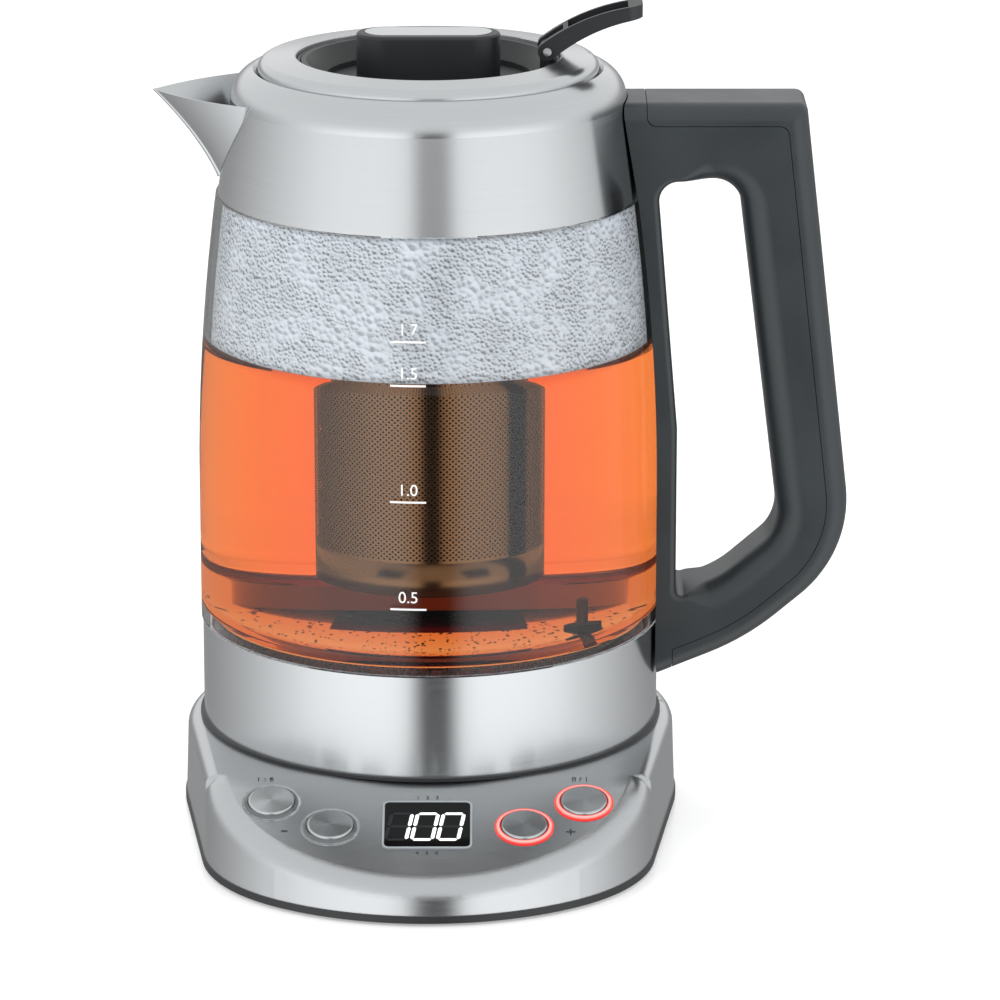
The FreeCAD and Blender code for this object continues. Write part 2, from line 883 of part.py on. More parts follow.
def display_pieces():
    thick = size.display_thick
    foot = size.display_proud - thick
    bezel = cut("display_bezel", display_slab("bezel_outer", 0, thick, foot),
                display_slab("bezel_inner", 0, thick, foot, size.bezel_width))
    keep("display_bezel", bezel)
    keep("display_window", display_slab("display_window", 0, thick, foot,
                                        size.bezel_width + size.running_gap))
    module = display_slab("display_module", 0, size.module_depth,
                          foot - size.module_depth, size.bezel_width * 2)
    keep("display_module", module)


def control_board():
    half = size.board_width / 2
    back = size.board_length / 2
    narrow = half - size.board_back_depth / 2
    board = body_named("board_body")
    sketch = sketch_on(board, "XY_Plane")
    draw(sketch, [(narrow, -back), (half, 0), (half, back), (-half, back), (-half, 0),
                  (-narrow, -back)])
    padded(board, sketch, size.board_thick)
    on_panel(board, 0, size.board_down, -(size.board_drop + size.board_thick))
    keep("control_board", board)
    switches = []
    for button, (across, down) in BUTTONS.items():
        side = size.switch_side
        body = body_named(f"{button}_switch")
        sketch = sketch_on(body, "XY_Plane")
        draw(sketch, [(-side / 2, -side / 2), (side / 2, -side / 2), (side / 2, side / 2),
                      (-side / 2, side / 2)])
        padded(body, sketch, size.switch_height)
        switches.append(on_panel(body, across, down, -size.board_drop))
    keep("button_switches", group("button_switches", switches))


def supply_pieces():
    floor = size.foot_height + size.pan_floor
    supply = block("supply_block", size.supply_width, size.supply_depth, size.supply_height,
                   -size.supply_width / 2, size.supply_back - size.supply_depth / 2, floor)
    keep("power_supply", supply)
    gland_face = size.back_radius + size.inlet_flange / 2
    tube = cylinder("inlet_tube", size.inlet_radius, size.inlet_length, 0, gland_face,
                    size.inlet_height, X_AXIS, QUARTER)
    flange = cylinder("inlet_flange", size.inlet_flange_radius, size.inlet_flange, 0,
                      gland_face + size.inlet_flange, size.inlet_height, X_AXIS, QUARTER)
    bore = cylinder("inlet_bore", size.inlet_bore, size.inlet_length * 2, 0,
                    gland_face + size.inlet_length / 2, size.inlet_height, X_AXIS, QUARTER)
    keep("lead_inlet", cut("lead_inlet", fuse("inlet_solid", tube, flange), bore))


# Kettle foot: steel band, underside cover, socket, floor and heater

band_foot = dock_top
band_top = band_foot + size.band_height
floor_under = size.floor_height - size.floor_wall
rim_under = size.floor_rim_height - size.floor_wall
rim_radius = size.glass_radius - size.glass_wall - size.band_wall


def lower_screw_hole(name):
    """Clearance hole for the lower handle screw, through the band and the underside."""
    return cylinder(name, size.handle_screw_radius + size.slip_gap, size.glass_radius,
                    size.hub_foot_radius * 2, 0, size.handle_screw_lower, Y_AXIS, QUARTER)


def kettle_band():
    inner = size.band_radius - size.band_wall
    band = turned("band_turned", [
        (inner, band_foot),
        (size.band_radius, band_foot),
        (size.band_radius, band_top),
        (inner, band_top),
    ])
    keep("kettle_band", cut("kettle_band", band, lower_screw_hole("band_screw_hole")))


def kettle_underside():
    outer = size.band_radius - size.band_wall - size.seat_gap
    inner = outer - size.underside_skirt
    foot = band_foot + size.underside_lift
    bore = size.hub_radius + size.slip_gap + size.socket_wall + size.seat_gap
    cover = turned("underside_turned", [
        (bore, foot),
        (outer, foot),
        (outer, rim_under - size.seat_gap),
        (inner, rim_under - size.seat_gap),
        (inner, foot + size.underside_wall),
        (bore, foot + size.underside_wall),
    ])
    keep("kettle_underside", cut("kettle_underside", cover,
                                 lower_screw_hole("underside_screw_hole")))


def kettle_socket():
    bore = size.hub_radius + size.slip_gap
    outer = bore + size.socket_wall
    foot = band_foot + size.underside_lift
    roof = dock_floor + size.hub_height + size.seat_gap
    pin = size.hub_well_radius - size.slip_gap - size.seat_gap
    keep("kettle_socket", turned("kettle_socket", [
        (bore, foot),
        (outer, foot),
        (outer, foot + size.underside_wall),
        (outer + size.socket_wall, foot + size.underside_wall),
        (outer + size.socket_wall, foot + size.underside_wall * 2),
        (outer, foot + size.underside_wall * 2),
        (outer, roof + size.socket_roof),
        (0, roof + size.socket_roof),
        (0, roof - size.hub_well_depth + size.socket_roof),
        (pin, roof - size.hub_well_depth + size.socket_roof),
        (pin, roof),
        (bore, roof),
    ]))


def kettle_floor():
    wall = rim_radius - size.floor_wall
    floor = turned("floor_turned", [
        (0, floor_under),
        (rim_radius, floor_under),
        (rim_radius, rim_under),
        (size.band_radius - size.band_wall - size.seat_gap, rim_under),
        (size.band_radius - size.band_wall - size.seat_gap, size.floor_rim_height),
        (wall, size.floor_rim_height),
        (wall, size.floor_height),
        (0, size.floor_height),
    ])
    hole = cylinder("probe_hole", size.probe_radius + size.running_gap, size.floor_height * 2,
                    size.probe_x, size.probe_y)
    keep("kettle_floor", cut("kettle_floor", floor, hole))


def lower_seal():
    outer = size.band_radius - size.band_wall - size.seat_gap
    inner = outer - size.seal_radial
    keep("lower_seal", turned("lower_seal", [
        (inner, size.floor_rim_height),
        (outer, size.floor_rim_height),
        (outer, size.floor_rim_height + size.seal_height),
        (inner, size.floor_rim_height + size.seal_height),
    ]))


def heater_pieces():
    spreader = cylinder("spreader_disc", size.spreader_radius, size.spreader_thick,
                        0, 0, floor_under - size.spreader_thick)
    hole = cylinder("spreader_hole", size.probe_radius + size.slip_gap, size.floor_height * 2,
                    size.probe_x, size.probe_y)
    keep("heat_spreader", cut("heat_spreader", spreader, hole))
    centre = floor_under - size.spreader_thick - size.element_tube - size.seat_gap
    ring = doc.addObject("Part::Torus", "element_ring")
    ring.Radius1 = size.element_radius.value
    ring.setExpression("Radius1", size.element_radius.formula)
    ring.Radius2 = size.element_tube.value
    ring.setExpression("Radius2", size.element_tube.formula)
    ring.Angle3 = 360 - size.element_gap_angle.value
    ring.setExpression("Angle3", (360 - size.element_gap_angle).formula)
    half = size.element_gap_angle / 2
    place(ring, 0, 0, centre, Z_AXIS, size.element_gap_centre + half)
    lead_in = []
    for number, side in enumerate((1, -1)):
        bearing = size.element_gap_centre + side * half
        x = size.element_radius * cosine(bearing)
        y = size.element_radius * sine(bearing)
        tail = cylinder(f"element_tail_{number}", size.element_tube / 2,
                        size.element_tube * 2, x, y, centre - size.element_tube * 2)
        lead_in.append(tail)
    keep("heating_element", fuse("heating_element", ring, *lead_in))
    socket_top = dock_floor + size.hub_height + size.seat_gap + size.socket_roof
    keep("thermal_cutout", cylinder("thermal_cutout", size.cutout_width / 2,
                                    floor_under - size.spreader_thick - socket_top, 0, 0,
                                    socket_top))


def sensor_pieces():
    flange_foot = size.floor_height
    probe = cylinder("probe_pin", size.probe_radius, size.probe_height + size.probe_tail
                     + size.floor_wall + size.probe_flange, size.probe_x, size.probe_y,
                     floor_under - size.probe_tail)
    tip = doc.addObject("Part::Sphere", "probe_tip")
    tip.Radius = size.probe_radius.value
    tip.setExpression("Radius", size.probe_radius.formula)
    place(tip, size.probe_x, size.probe_y,
          flange_foot + size.probe_flange + size.probe_height)
    keep("sensor_probe", fuse("sensor_probe", probe, tip))
    flange = cylinder("gland_disc", size.probe_flange_radius, size.probe_flange,
                      size.probe_x, size.probe_y, flange_foot)
    bore = cylinder("gland_bore", size.probe_radius + size.running_gap, size.probe_flange * 2,
                    size.probe_x, size.probe_y, flange_foot - size.probe_flange / 2)
    keep("sensor_gland", cut("sensor_gland", flange, bore))


# Glass: straight for half its height, then drawn in to the neck by one long arc

def glass_curve(grow):
    """Radius of the glass's long arc, for an outline moved outwards by grow."""
    rise = size.glass_top - size.glass_bend
    draw_in = size.glass_radius - size.neck_radius
    return (rise * rise + draw_in * draw_in) / (draw_in * 2) + grow


glass_foot = size.floor_rim_height + size.seal_height


def glass_body():
    inner = size.glass_radius - size.glass_wall
    keep("glass_body", turned("glass_body", [
        (inner, glass_foot),
        (size.glass_radius, glass_foot),
        (size.glass_radius, size.glass_bend),
        (size.neck_radius, size.glass_top),
        (size.neck_radius - size.glass_wall, size.glass_top),
        (inner, size.glass_bend),
    ], {2: (glass_curve(0), 1), 4: (glass_curve(-size.glass_wall), -1)}))


def neck_seal():
    outer = size.neck_radius - size.glass_wall - size.slip_gap / 3
    inner = outer - size.sleeve_clearance + size.slip_gap
    top = size.glass_top - size.collar_wall
    keep("neck_seal", turned("neck_seal", [
        (inner, top - size.neck_seal_height),
        (outer, top - size.neck_seal_height),
        (outer, top),
        (inner, top),
    ]))


# Collar, with the spout welded over a window in its wall

def collar():
    wall = size.collar_wall
    foot = size.glass_top + size.collar_lap
    sleeve = size.neck_radius - size.glass_wall - size.sleeve_clearance
    shoulder_inner = size.shoulder_radius - wall
    skin = turned("collar_turned", [
        (sleeve - size.sleeve_wall, size.glass_top - size.sleeve_depth),
        (sleeve, size.glass_top - size.sleeve_depth),
        (sleeve, foot),
        (size.collar_foot_radius, foot),
        (size.shoulder_outer, size.shoulder_height),
        (size.mouth_radius, size.collar_top),
        (size.mouth_radius - wall, size.collar_top - wall),
        (size.mouth_radius - wall, size.seat_height),
        (size.seat_radius, size.seat_height),
        (size.seat_radius, size.skirt_foot),
        (size.seat_radius + wall, size.skirt_foot),
        (size.seat_radius + wall, size.seat_height - wall),
        (size.mouth_radius, size.seat_height - wall),
        (size.mouth_radius, size.collar_top - wall - size.shoulder_seam),
        (size.shoulder_outer - wall, size.shoulder_height - size.shoulder_rise),
        (size.collar_foot_radius - wall, foot + wall),
        (sleeve - size.sleeve_wall, foot + wall),
    ], {4: (size.shoulder_radius, 1), 13: (shoulder_inner, -1)})
    window = window_arch("spout_window", 0)
    screw = cylinder("collar_screw_hole", size.handle_screw_radius + size.slip_gap,
                     size.band_radius, size.seat_radius + size.collar_wall * 3, 0,
                     size.handle_screw_upper, Y_AXIS, QUARTER)
    keep("collar", cut("collar", skin, window, screw))


def window_arch(name, inset):
    """A bar along X through the collar's window: an arch with its round end down."""
    inset = sized(inset)
    half = size.window_half_width - inset
    body = body_named(name)
    sketch = sketch_on(body, "YZ_Plane", -size.spout_reach)
    draw(sketch, [
        (-half, size.window_spring),
        (half, size.window_spring),
        (half, size.window_top - inset),
        (-half, size.window_top - inset),
    ], {0: (half, 1)})
    padded(body, sketch, size.spout_reach - size.seat_radius - size.collar_wall * 4)
    return body


# The spout's form: how many levels it is drawn at, and how they crowd towards its foot
SPOUT_LEVELS = 8
SPOUT_CROWDING = 1.5
# Share of its reach that grows evenly with height; the rest grows with the height's square
SPOUT_EVEN_SHARE = 0.62
# Where its cheek bulges: share of the way out, share of its half width, share of its nose
CHEEK_OUT, CHEEK_ACROSS, CHEEK_NOSE = 0.52, 0.60, 0.2
# How far back the nose's round begins, as a share of its half width, and its largest share
# of the half width of the spout
NOSE_ROUND, NOSE_SHARE = 0.8, 0.6
# How much of the wall's thickness shows at the foot of the front, which leans outwards
FRONT_LEAN, NOSE_LEAN = 0.6, 0.2


def spout_levels(inset):
    """Heights from the spout's foot to its rim, each with its share of the way up."""
    foot = size.spout_foot.value + inset
    rim = size.spout_rim.value
    shares = [(step / SPOUT_LEVELS) ** SPOUT_CROWDING for step in range(SPOUT_LEVELS + 1)]
    return [(foot + (rim - foot) * share, share) for share in shares]


def spout_solid(name, inset, inner_x):
    """Solid beak inside the spout's outer skin, moved inwards by inset, back to inner_x."""
    inset = sized(inset).value
    collar_x = size.collar_foot_radius.value
    root_x = collar_x - inset * FRONT_LEAN
    reach = size.spout_reach.value - inset - root_x
    wires = []
    for level, rise in spout_levels(inset):
        half = max((size.spout_half_width.value - inset) * math.sqrt(rise),
                   size.spout_foot_half_width.value)
        out = SPOUT_EVEN_SHARE * rise + (1 - SPOUT_EVEN_SHARE) * rise ** 2
        tip = root_x + max(reach * out, size.spout_foot_reach.value)
        side_x = math.sqrt(collar_x ** 2 - half ** 2) - size.spout_root_depth.value
        nose_half = min(size.spout_nose.value + inset * NOSE_LEAN, half * NOSE_SHARE)
        nose_x = tip - nose_half * NOSE_ROUND
        cheek_x = side_x + (tip - side_x) * CHEEK_OUT
        cheek = half * CHEEK_ACROSS + nose_half * CHEEK_NOSE
        start = V(-inner_x.value, -half, level)
        shoulder = V(-side_x, -half, level)
        bulge = V(-cheek_x, -cheek, level)
        nose_near = V(-nose_x, -nose_half, level)
        nose = V(-tip, 0, level)
        nose_far = V(-nose_x, nose_half, level)
        bulge_far = V(-cheek_x, cheek, level)
        shoulder_far = V(-side_x, half, level)
        end = V(-inner_x.value, half, level)
        edges = [
            Part.LineSegment(start, shoulder).toShape(),
            Part.Arc(shoulder, bulge, nose_near).toShape(),
            Part.Arc(nose_near, nose, nose_far).toShape(),
            Part.Arc(nose_far, bulge_far, shoulder_far).toShape(),
            Part.LineSegment(shoulder_far, end).toShape(),
            Part.LineSegment(end, start).toShape(),
        ]
        wires.append(Part.Wire(edges))
    feature = doc.addObject("Part::Feature", name)
    feature.Shape = Part.makeLoft(wires, True, False)
    return feature


def collar_core(name, grow):
    """Everything inside the collar's outer skin, moved outwards by grow."""
    grow = sized(grow)
    return turned(name, [
        (0, size.glass_top - size.sleeve_depth),
        (size.neck_radius + grow, size.glass_top - size.sleeve_depth),
        (size.collar_foot_radius + grow, size.glass_top + size.collar_lap),
        (size.shoulder_outer + grow, size.shoulder_height),
        (size.mouth_radius, size.collar_top + grow),
        (0, size.collar_top + grow),
    ], {3: (size.shoulder_radius + grow, 1)})


def spout():
    inner_x = size.mouth_radius - size.spout_half_width
    outer = spout_solid("spout_outside", 0, inner_x)
    inner = spout_solid("spout_inside", size.spout_wall, inner_x)
    keep("spout", cut("spout", outer, fuse("spout_tools", inner,
                                           collar_core("spout_root", size.running_gap))))


def filter_pieces():
    """A frame that lines the window behind the spout, and the mesh that it holds."""
    back = collar_core("filter_back", -(size.collar_wall + size.filter_wall))
    front = collar_core("filter_front", -size.running_gap)
    band = common("filter_band", window_arch("filter_outside", size.seat_gap),
                  cut("filter_shell", front, back))
    keep("spout_filter_frame", cut("spout_filter_frame", band,
                                   window_arch("filter_inside", size.filter_frame)))
    mesh_back = collar_core("mesh_back", -(size.collar_wall + size.filter_mesh))
    mesh_front = collar_core("mesh_front", -size.collar_wall)
    outline = window_arch("mesh_outline", size.filter_frame + size.running_gap)
    keep("spout_filter_mesh", common("spout_filter_mesh", outline,
                                     cut("mesh_shell", mesh_front, mesh_back)))


# Handle: a frame against the kettle and a cover over its back, both cut to the kettle's form

def round_edges(body, radius, chosen):
    """Round the body's edges that the test function picks out."""
    doc.recompute()
    tip = body.Tip
    names = [f"Edge{number}" for number, edge in enumerate(tip.Shape.Edges, start=1)
             if chosen(edge)]
    fillet = body.newObject("PartDesign::Fillet", body.Name + "_round")
    fillet.Base = (tip, names)
    fillet.Radius = radius.value
    fillet.setExpression("Radius", radius.formula)
    body.Tip = fillet
    return fillet


def upright_at(x, z):
    """Test for an edge across the handle that passes through a point of its side view."""
    def chosen(edge):
        return all(abs(vertex.Point.x - x.value) < CLOSE and abs(vertex.Point.z - z.value) < CLOSE
                   for vertex in edge.Vertexes)
    return chosen


def profiled(name, corners, width):
    """A slab whose side view is a polygon of X, Z and the radius of each corner."""
    corners = [(sized(x), sized(z), radius) for x, z, radius in corners]
    body = slab(name, [(x, z) for x, z, radius in corners], width)
    for x, z, radius in corners:
        if radius is not None:
            round_edges(body, radius, upright_at(x, z))
    return body


def kettle_form(name, grow):
    """Outside of the band, glass and collar, moved outwards by grow."""
    grow = sized(grow)
    return turned(name, [
        (0, 0),
        (size.glass_radius + grow, 0),
        (size.glass_radius + grow, size.glass_bend),
        (size.neck_radius + grow, size.glass_top),
        (size.shoulder_outer + grow, size.shoulder_height),
        (size.shoulder_outer + grow, size.collar_top * BEYOND),
        (0, size.collar_top * BEYOND),
    ], {2: (glass_curve(grow), 1)})


def inset_corner(before, corner, after, depth):
    """Where a corner of a clockwise outline goes when both its edges move inwards."""
    def heading(first, second):
        run, rise = second[0] - first[0], second[1] - first[1]
        length = root(run * run + rise * rise)
        return rise / length, -(run / length)
    one, two = heading(before, corner), heading(corner, after)
    share = depth / (1 + one[0] * two[0] + one[1] * two[1])
    return corner[0] + share * (one[0] + two[0]), corner[1] + share * (one[1] + two[1])


def spine_zone(name, grow):
    """The space of the handle's back cover, with its inner faces moved inwards by grow."""
    depth = size.spine_thick + grow
    start = (size.spine_start - grow, size.handle_top)
    back = (size.handle_back, size.handle_top)
    bow = (size.bow_x, size.bow_height)
    heel = (size.heel_x, size.heel_height)
    toe = (size.toe_x, size.toe_height)
    back_in = inset_corner(start, back, bow, depth)
    bow_in = inset_corner(back, bow, heel, depth)
    heel_in = inset_corner(bow, heel, toe, depth)
    slope = (heel[1] - toe[1]) / (heel[0] - toe[0])
    foot_x = size.spine_foot - grow
    foot_z = heel_in[1] - (heel_in[0] - foot_x) * slope
    far = size.bow_x * BEYOND
    corner = size.spine_corner
    return profiled(name, [
        (start[0], size.handle_top - depth, corner),
        (start[0], size.handle_top * BEYOND, None),
        (far, size.handle_top * BEYOND, None),
        (far, 0, None),
        (foot_x, 0, None),
        (foot_x, foot_z, None),
        (heel_in[0], heel_in[1], size.heel_radius - depth),
        (bow_in[0], bow_in[1], size.bow_radius - depth),
        (back_in[0], back_in[1], corner),
    ], size.handle_width * 2)


def opening_rim(shape):
    """Rim edges of the finger opening: round where the hand grips, crisp along the strap."""
    half = size.handle_width.value / 2
    broad = size.grip_edge_round.value
    crisp = size.strap_edge_round.value
    rows = []
    for number, edge in enumerate(shape.Edges, start=1):
        points = [edge.valueAt(edge.FirstParameter), edge.valueAt(edge.LastParameter)]
        if any(abs(abs(point.y) - half) > CLOSE for point in points):
            continue
        if not all(in_opening(point) for point in points):
            continue
        rows.append((number, *[broad if grips(point) else crisp for point in points]))
    return rows


def in_opening(point):
    behind_strap = point.x > size.opening_neck_x.value - CLOSE
    below_top = point.z < size.opening_top.value + CLOSE
    before_bow = point.x < size.opening_bow_x.value
    above_foot = point.z > size.opening_foot.value - CLOSE
    return behind_strap and below_top and before_bow and above_foot


def grips(point):
    """Whether a point of the rim lies on the grip or the arm, rather than on the strap."""
    strap_x = size.opening_neck_x + size.opening_front_radius + size.strap_reach
    return point.x > strap_x.value


def handle_pieces():
    start_x = size.seat_radius
    outside = profiled("handle_outside", [
        (start_x, size.handle_top, None),
        (size.handle_back, size.handle_top, size.spine_corner),
        (size.bow_x, size.bow_height, size.bow_radius),
        (size.heel_x, size.heel_height, size.heel_radius),
        (size.toe_x, size.toe_height, None),
        (start_x, size.toe_height, None),
    ], size.handle_width)
    half = size.handle_width.value / 2

    def back_rim(edge):
        points = [vertex.Point for vertex in edge.Vertexes]
        on_side = all(abs(abs(point.y) - half) < CLOSE for point in points)
        level = all(abs(point.z - size.handle_top.value) < CLOSE for point in points)
        behind = min(point.x for point in points) > size.toe_x.value - CLOSE
        low = all(abs(point.z - size.toe_height.value) < CLOSE for point in points)
        return on_side and behind and not level and not low
    round_edges(outside, size.handle_edge, back_rim)
    opening = profiled("handle_opening", [
        (size.opening_neck_x, size.opening_top, size.opening_front_radius),
        (size.opening_back, size.opening_top, size.opening_back_radius),
        (size.opening_bow_x, size.opening_bow_height, size.opening_bow_radius),
        (size.opening_heel_x, size.opening_heel_height, size.opening_heel_radius),
        (size.opening_front, size.opening_foot, size.opening_toe_radius),
        (size.opening_front, size.opening_knee, None),
    ], size.handle_width * 2)
    screws, holes = [], []
    places = ((size.shoulder_outer - size.collar_wall, size.handle_screw_upper, "upper"),
              (size.band_radius - size.band_wall * 2 - size.underside_skirt - size.seat_gap,
               size.handle_screw_lower, "lower"))
    for x, z, end in places:
        head = cylinder(f"{end}_head", size.handle_screw_head, size.handle_screw_head_height,
                        x - size.handle_screw_head_height, 0, z, Y_AXIS, QUARTER)
        shank = cylinder(f"{end}_shank", size.handle_screw_radius, size.handle_screw_length,
                         x, 0, z, Y_AXIS, QUARTER)
        screws.append(fuse(f"{end}_screw", head, shank))
        holes.append(cylinder(f"{end}_hole", size.handle_screw_radius + size.running_gap,
                              size.handle_screw_length + size.seat_gap, x, 0, z,
                              Y_AXIS, QUARTER))
    keep("handle_screws", group("handle_screws", screws))
    ring = cut("handle_ring", outside, opening)
    doc.recompute()
    softened = doc.addObject("Part::Fillet", "handle_softened")
    softened.Base = ring
    softened.Edges = opening_rim(ring.Shape)
    body = kettle_form("handle_seat", size.slip_gap)
    whole = cut("handle_whole", softened, body, *holes)
    keep("handle_frame", cut("handle_frame", whole, spine_zone("spine_gap", size.handle_gap)))
    keep("handle_spine", common("handle_spine", whole, spine_zone("spine_space", sized(0))))


# Lid: a steel ring over a black carrier that plugs the kettle's mouth

def lid_pieces():
    wall = size.lid_wall
    edge = size.lid_radius - size.lid_edge_radius
    top = size.lid_shoulder + size.lid_edge_radius
    lip = size.lid_opening + size.lid_lip_radius
    foot = size.seat_height + size.seat_gap
    keep("lid_ring", turned("lid_ring", [
        (size.lid_radius - wall, foot),
        (size.lid_radius, foot),
        (size.lid_radius, size.lid_shoulder),
        (edge, top),
        (lip, size.lid_crown),
        (size.lid_opening, size.lid_crown - size.lid_lip_radius),
        (size.lid_opening, size.lid_lip_foot),
        (lip, size.lid_lip_foot),
        (lip, size.lid_crown - wall),
        (edge, top - wall),
        (size.lid_radius - wall, size.lid_shoulder),
    ], {2: (size.lid_edge_radius, 1), 4: (size.lid_lip_radius, 1),
        9: (size.lid_edge_radius - wall, -1)}))
    plug = size.seat_radius - size.slip_gap - size.seat_gap
    tube = size.lid_bore + size.lid_tube_wall
    web = size.seat_height - size.lid_web
    groove = plug - size.gasket_groove
    gasket_top = size.gasket_foot + size.gasket_height
    keep("lid_carrier", turned("lid_carrier", [
        (size.lid_ledge_bore, size.lid_ledge - size.lid_ledge_thick),
        (tube, size.lid_ledge - size.lid_ledge_thick),
        (tube, web),
        (plug - size.lid_plug_wall, web),
        (plug - size.lid_plug_wall, size.lid_plug_foot),
        (plug, size.lid_plug_foot),
        (plug, size.gasket_foot),
        (groove, size.gasket_foot),
        (groove, gasket_top),
        (plug, gasket_top),
        (plug, size.seat_height),
        (size.lid_radius - wall - size.slip_gap, size.seat_height),
        (size.lid_radius - wall - size.slip_gap, size.seat_height + size.lid_web),
        (size.lid_bore + size.lid_riser_wall, size.seat_height + size.lid_web),
        (size.lid_bore + size.lid_riser_wall, size.lid_riser_top),
        (size.lid_bore, size.lid_riser_top),
        (size.lid_bore, size.lid_ledge),
        (size.lid_ledge_bore, size.lid_ledge),
    ]))
    keep("lid_gasket", turned("lid_gasket", [
        (groove, size.gasket_foot),
        (plug + size.gasket_proud, size.gasket_foot),
        (plug + size.gasket_proud, gasket_top),
        (groove, gasket_top),
    ]))


# Infuser: a steel basket under a black collar that hangs in the lid

def tongue(name, grow):
    """The bracket's tongue on the infuser's collar, grown all round."""
    half = size.tongue_half_thick + grow
    body = slab(name, [
        (size.pivot_x - half, size.tongue_foot - grow),
        (size.pivot_x + half, size.tongue_foot - grow),
        (size.pivot_x + half, size.pivot_height),
        (size.pivot_x - half, size.pivot_height),
    ], (size.tongue_half_width + grow) * 2, {2: (half, 1)})
    return body


def infuser_pieces():
    wall = size.infuser_wall
    keep("infuser_basket", turned("infuser_basket", [
        (0, size.infuser_foot),
        (size.infuser_foot_radius, size.infuser_foot),
        (size.infuser_top_radius, size.infuser_cone_foot),
        (size.infuser_neck, size.infuser_cone_top),
        (size.infuser_neck, size.lid_ledge),
        (size.infuser_flange_radius, size.lid_ledge),
        (size.infuser_flange_radius, size.lid_ledge + wall),
        (size.infuser_neck - wall, size.lid_ledge + wall),
        (size.infuser_neck - wall, size.infuser_cone_top + wall / 2),
        (size.infuser_top_radius - wall, size.infuser_cone_foot + wall / 2),
        (size.infuser_foot_radius - wall, size.infuser_foot + wall),
        (0, size.infuser_foot + wall),
    ]))
    outer = size.lid_bore - size.slip_gap
    foot = size.lid_ledge + wall
    ring = turned("infuser_collar_ring", [
        (size.recess_radius - size.recess_lip, foot),
        (outer, foot),
        (outer, size.recess_top),
        (outer - size.recess_edge, size.recess_top),
        (size.recess_radius, size.recess_foot),
        (size.recess_radius, size.recess_floor),
        (size.recess_radius - size.recess_lip, size.recess_floor),
    ])
    keep("infuser_collar", cut("infuser_collar", ring, tongue("tongue_slot", size.seat_gap)))
    bore = size.pin_radius + size.running_gap
    across = size.lever_half_width * 4
    pin_hole = cylinder("tongue_hole", bore, across, size.pivot_x, across / 2,
                        size.pivot_height, X_AXIS, QUARTER)
    keep("lever_bracket", cut("lever_bracket", tongue("bracket_tongue", 0), pin_hole))
    reach = size.lever_half_width + size.pin_proud
    keep("lever_pin", cylinder("lever_pin", size.pin_radius, reach * 2, size.pivot_x, reach,
                               size.pivot_height, X_AXIS, QUARTER))


def lever():
    """A curved channel that turns on the pin and opens upwards."""
    width = size.lever_half_width * 2
    bow = slab("lever_bow", [
        (size.lever_heel_x, size.lever_heel_height),
        (size.lever_tip_x, size.lever_tip_under),
        (size.lever_tip_x, size.lever_tip_top),
        (size.lever_back_x, size.lever_back_height),
    ], width, {0: (size.lever_under_radius, -1), 2: (size.lever_top_radius, 1)})
    eye = cylinder("lever_eye", size.lever_eye, width, size.pivot_x, size.lever_half_width,
                   size.pivot_height, X_AXIS, QUARTER)
    floor = size.lever_floor
    channel = slab("lever_channel", [
        (size.lever_channel_start, size.lever_heel_height + floor * 4),
        (size.lever_channel_end, size.lever_tip_under),
        (size.lever_channel_end, size.lever_tip_top * BEYOND),
        (size.lever_channel_start, size.lever_tip_top * BEYOND),
    ], width - size.lever_wall * 2, {0: (size.lever_under_radius, -1)})
    reach = size.lever_half_width
    corner = size.lever_tip_radius
    plan = prism("lever_plan", [
        (0, -reach),
        (size.lever_tip_x - corner, -reach),
        (size.lever_tip_x, -reach + corner),
        (size.lever_tip_x, reach - corner),
        (size.lever_tip_x - corner, reach),
        (0, reach),
    ], size.seat_height, size.seat_height, {1: (corner, 1), 3: (corner, 1)})
    slot_half = size.tongue_half_width + size.running_gap * 2
    slot = slab("lever_slot", [
        (0, size.seat_height),
        (size.lever_slot_end, size.seat_height),
        (size.lever_slot_end, size.lever_tip_top * BEYOND),
        (0, size.lever_tip_top * BEYOND),
    ], slot_half * 2)
    bore = cylinder("lever_bore", size.pin_radius + size.running_gap, width * 2, size.pivot_x,
                    width, size.pivot_height, X_AXIS, QUARTER)
    shaped = common("lever_shaped", fuse("lever_solid", bow, eye), plan)
    keep("infuser_lever", cut("infuser_lever", shaped, channel, slot, bore))


# Inner lid: a plate that covers the infuser, with a grip and its inlay

def stadium(name, inset, base, height):
    reach = size.grip_half_length - size.grip_half_width
    half = size.grip_half_width - inset
    return prism(name, [(-reach, -half), (reach, -half), (reach, half), (-reach, half)],
                 base, height, {1: (half, 1), 3: (half, 1)})


def inner_lid_pieces():
    radius = size.recess_radius - size.slip_gap
    top = size.recess_floor + size.plate_thick
    keep("inner_lid", turned("inner_lid", [
        (0, size.recess_floor),
        (radius, size.recess_floor),
        (radius, top + size.plate_rim_height),
        (radius - size.plate_rim, top + size.plate_rim_height),
        (radius - size.plate_rim, top),
        (0, top),
    ]))
    grip = stadium("grip_block", 0, top, size.grip_top - top)
    crown = size.grip_top.value
    round_edges(grip, size.grip_edge,
                lambda edge: all(abs(vertex.Point.z - crown) < CLOSE for vertex in edge.Vertexes))
    seat = size.grip_top - size.inlay_depth
    pocket = stadium("grip_pocket", size.inlay_inset, seat, size.inlay_depth * 2)
    keep("inner_lid_grip", cut("inner_lid_grip", grip, pocket))
    keep("grip_inlay", stadium("grip_inlay", size.inlay_inset + size.running_gap, seat,
                               size.inlay_depth + size.inlay_proud))


for make in (
    base_cover, base_pan, foot_ring, pan_screws, dock_plate, connector_hub, hub_contacts,
    button_pieces, display_pieces, control_board, supply_pieces,
    kettle_band, kettle_underside, kettle_socket, kettle_floor, lower_seal, heater_pieces,
    sensor_pieces, glass_body, neck_seal, collar, spout, filter_pieces, handle_pieces,
    lid_pieces, infuser_pieces, lever, inner_lid_pieces,
):
    make()

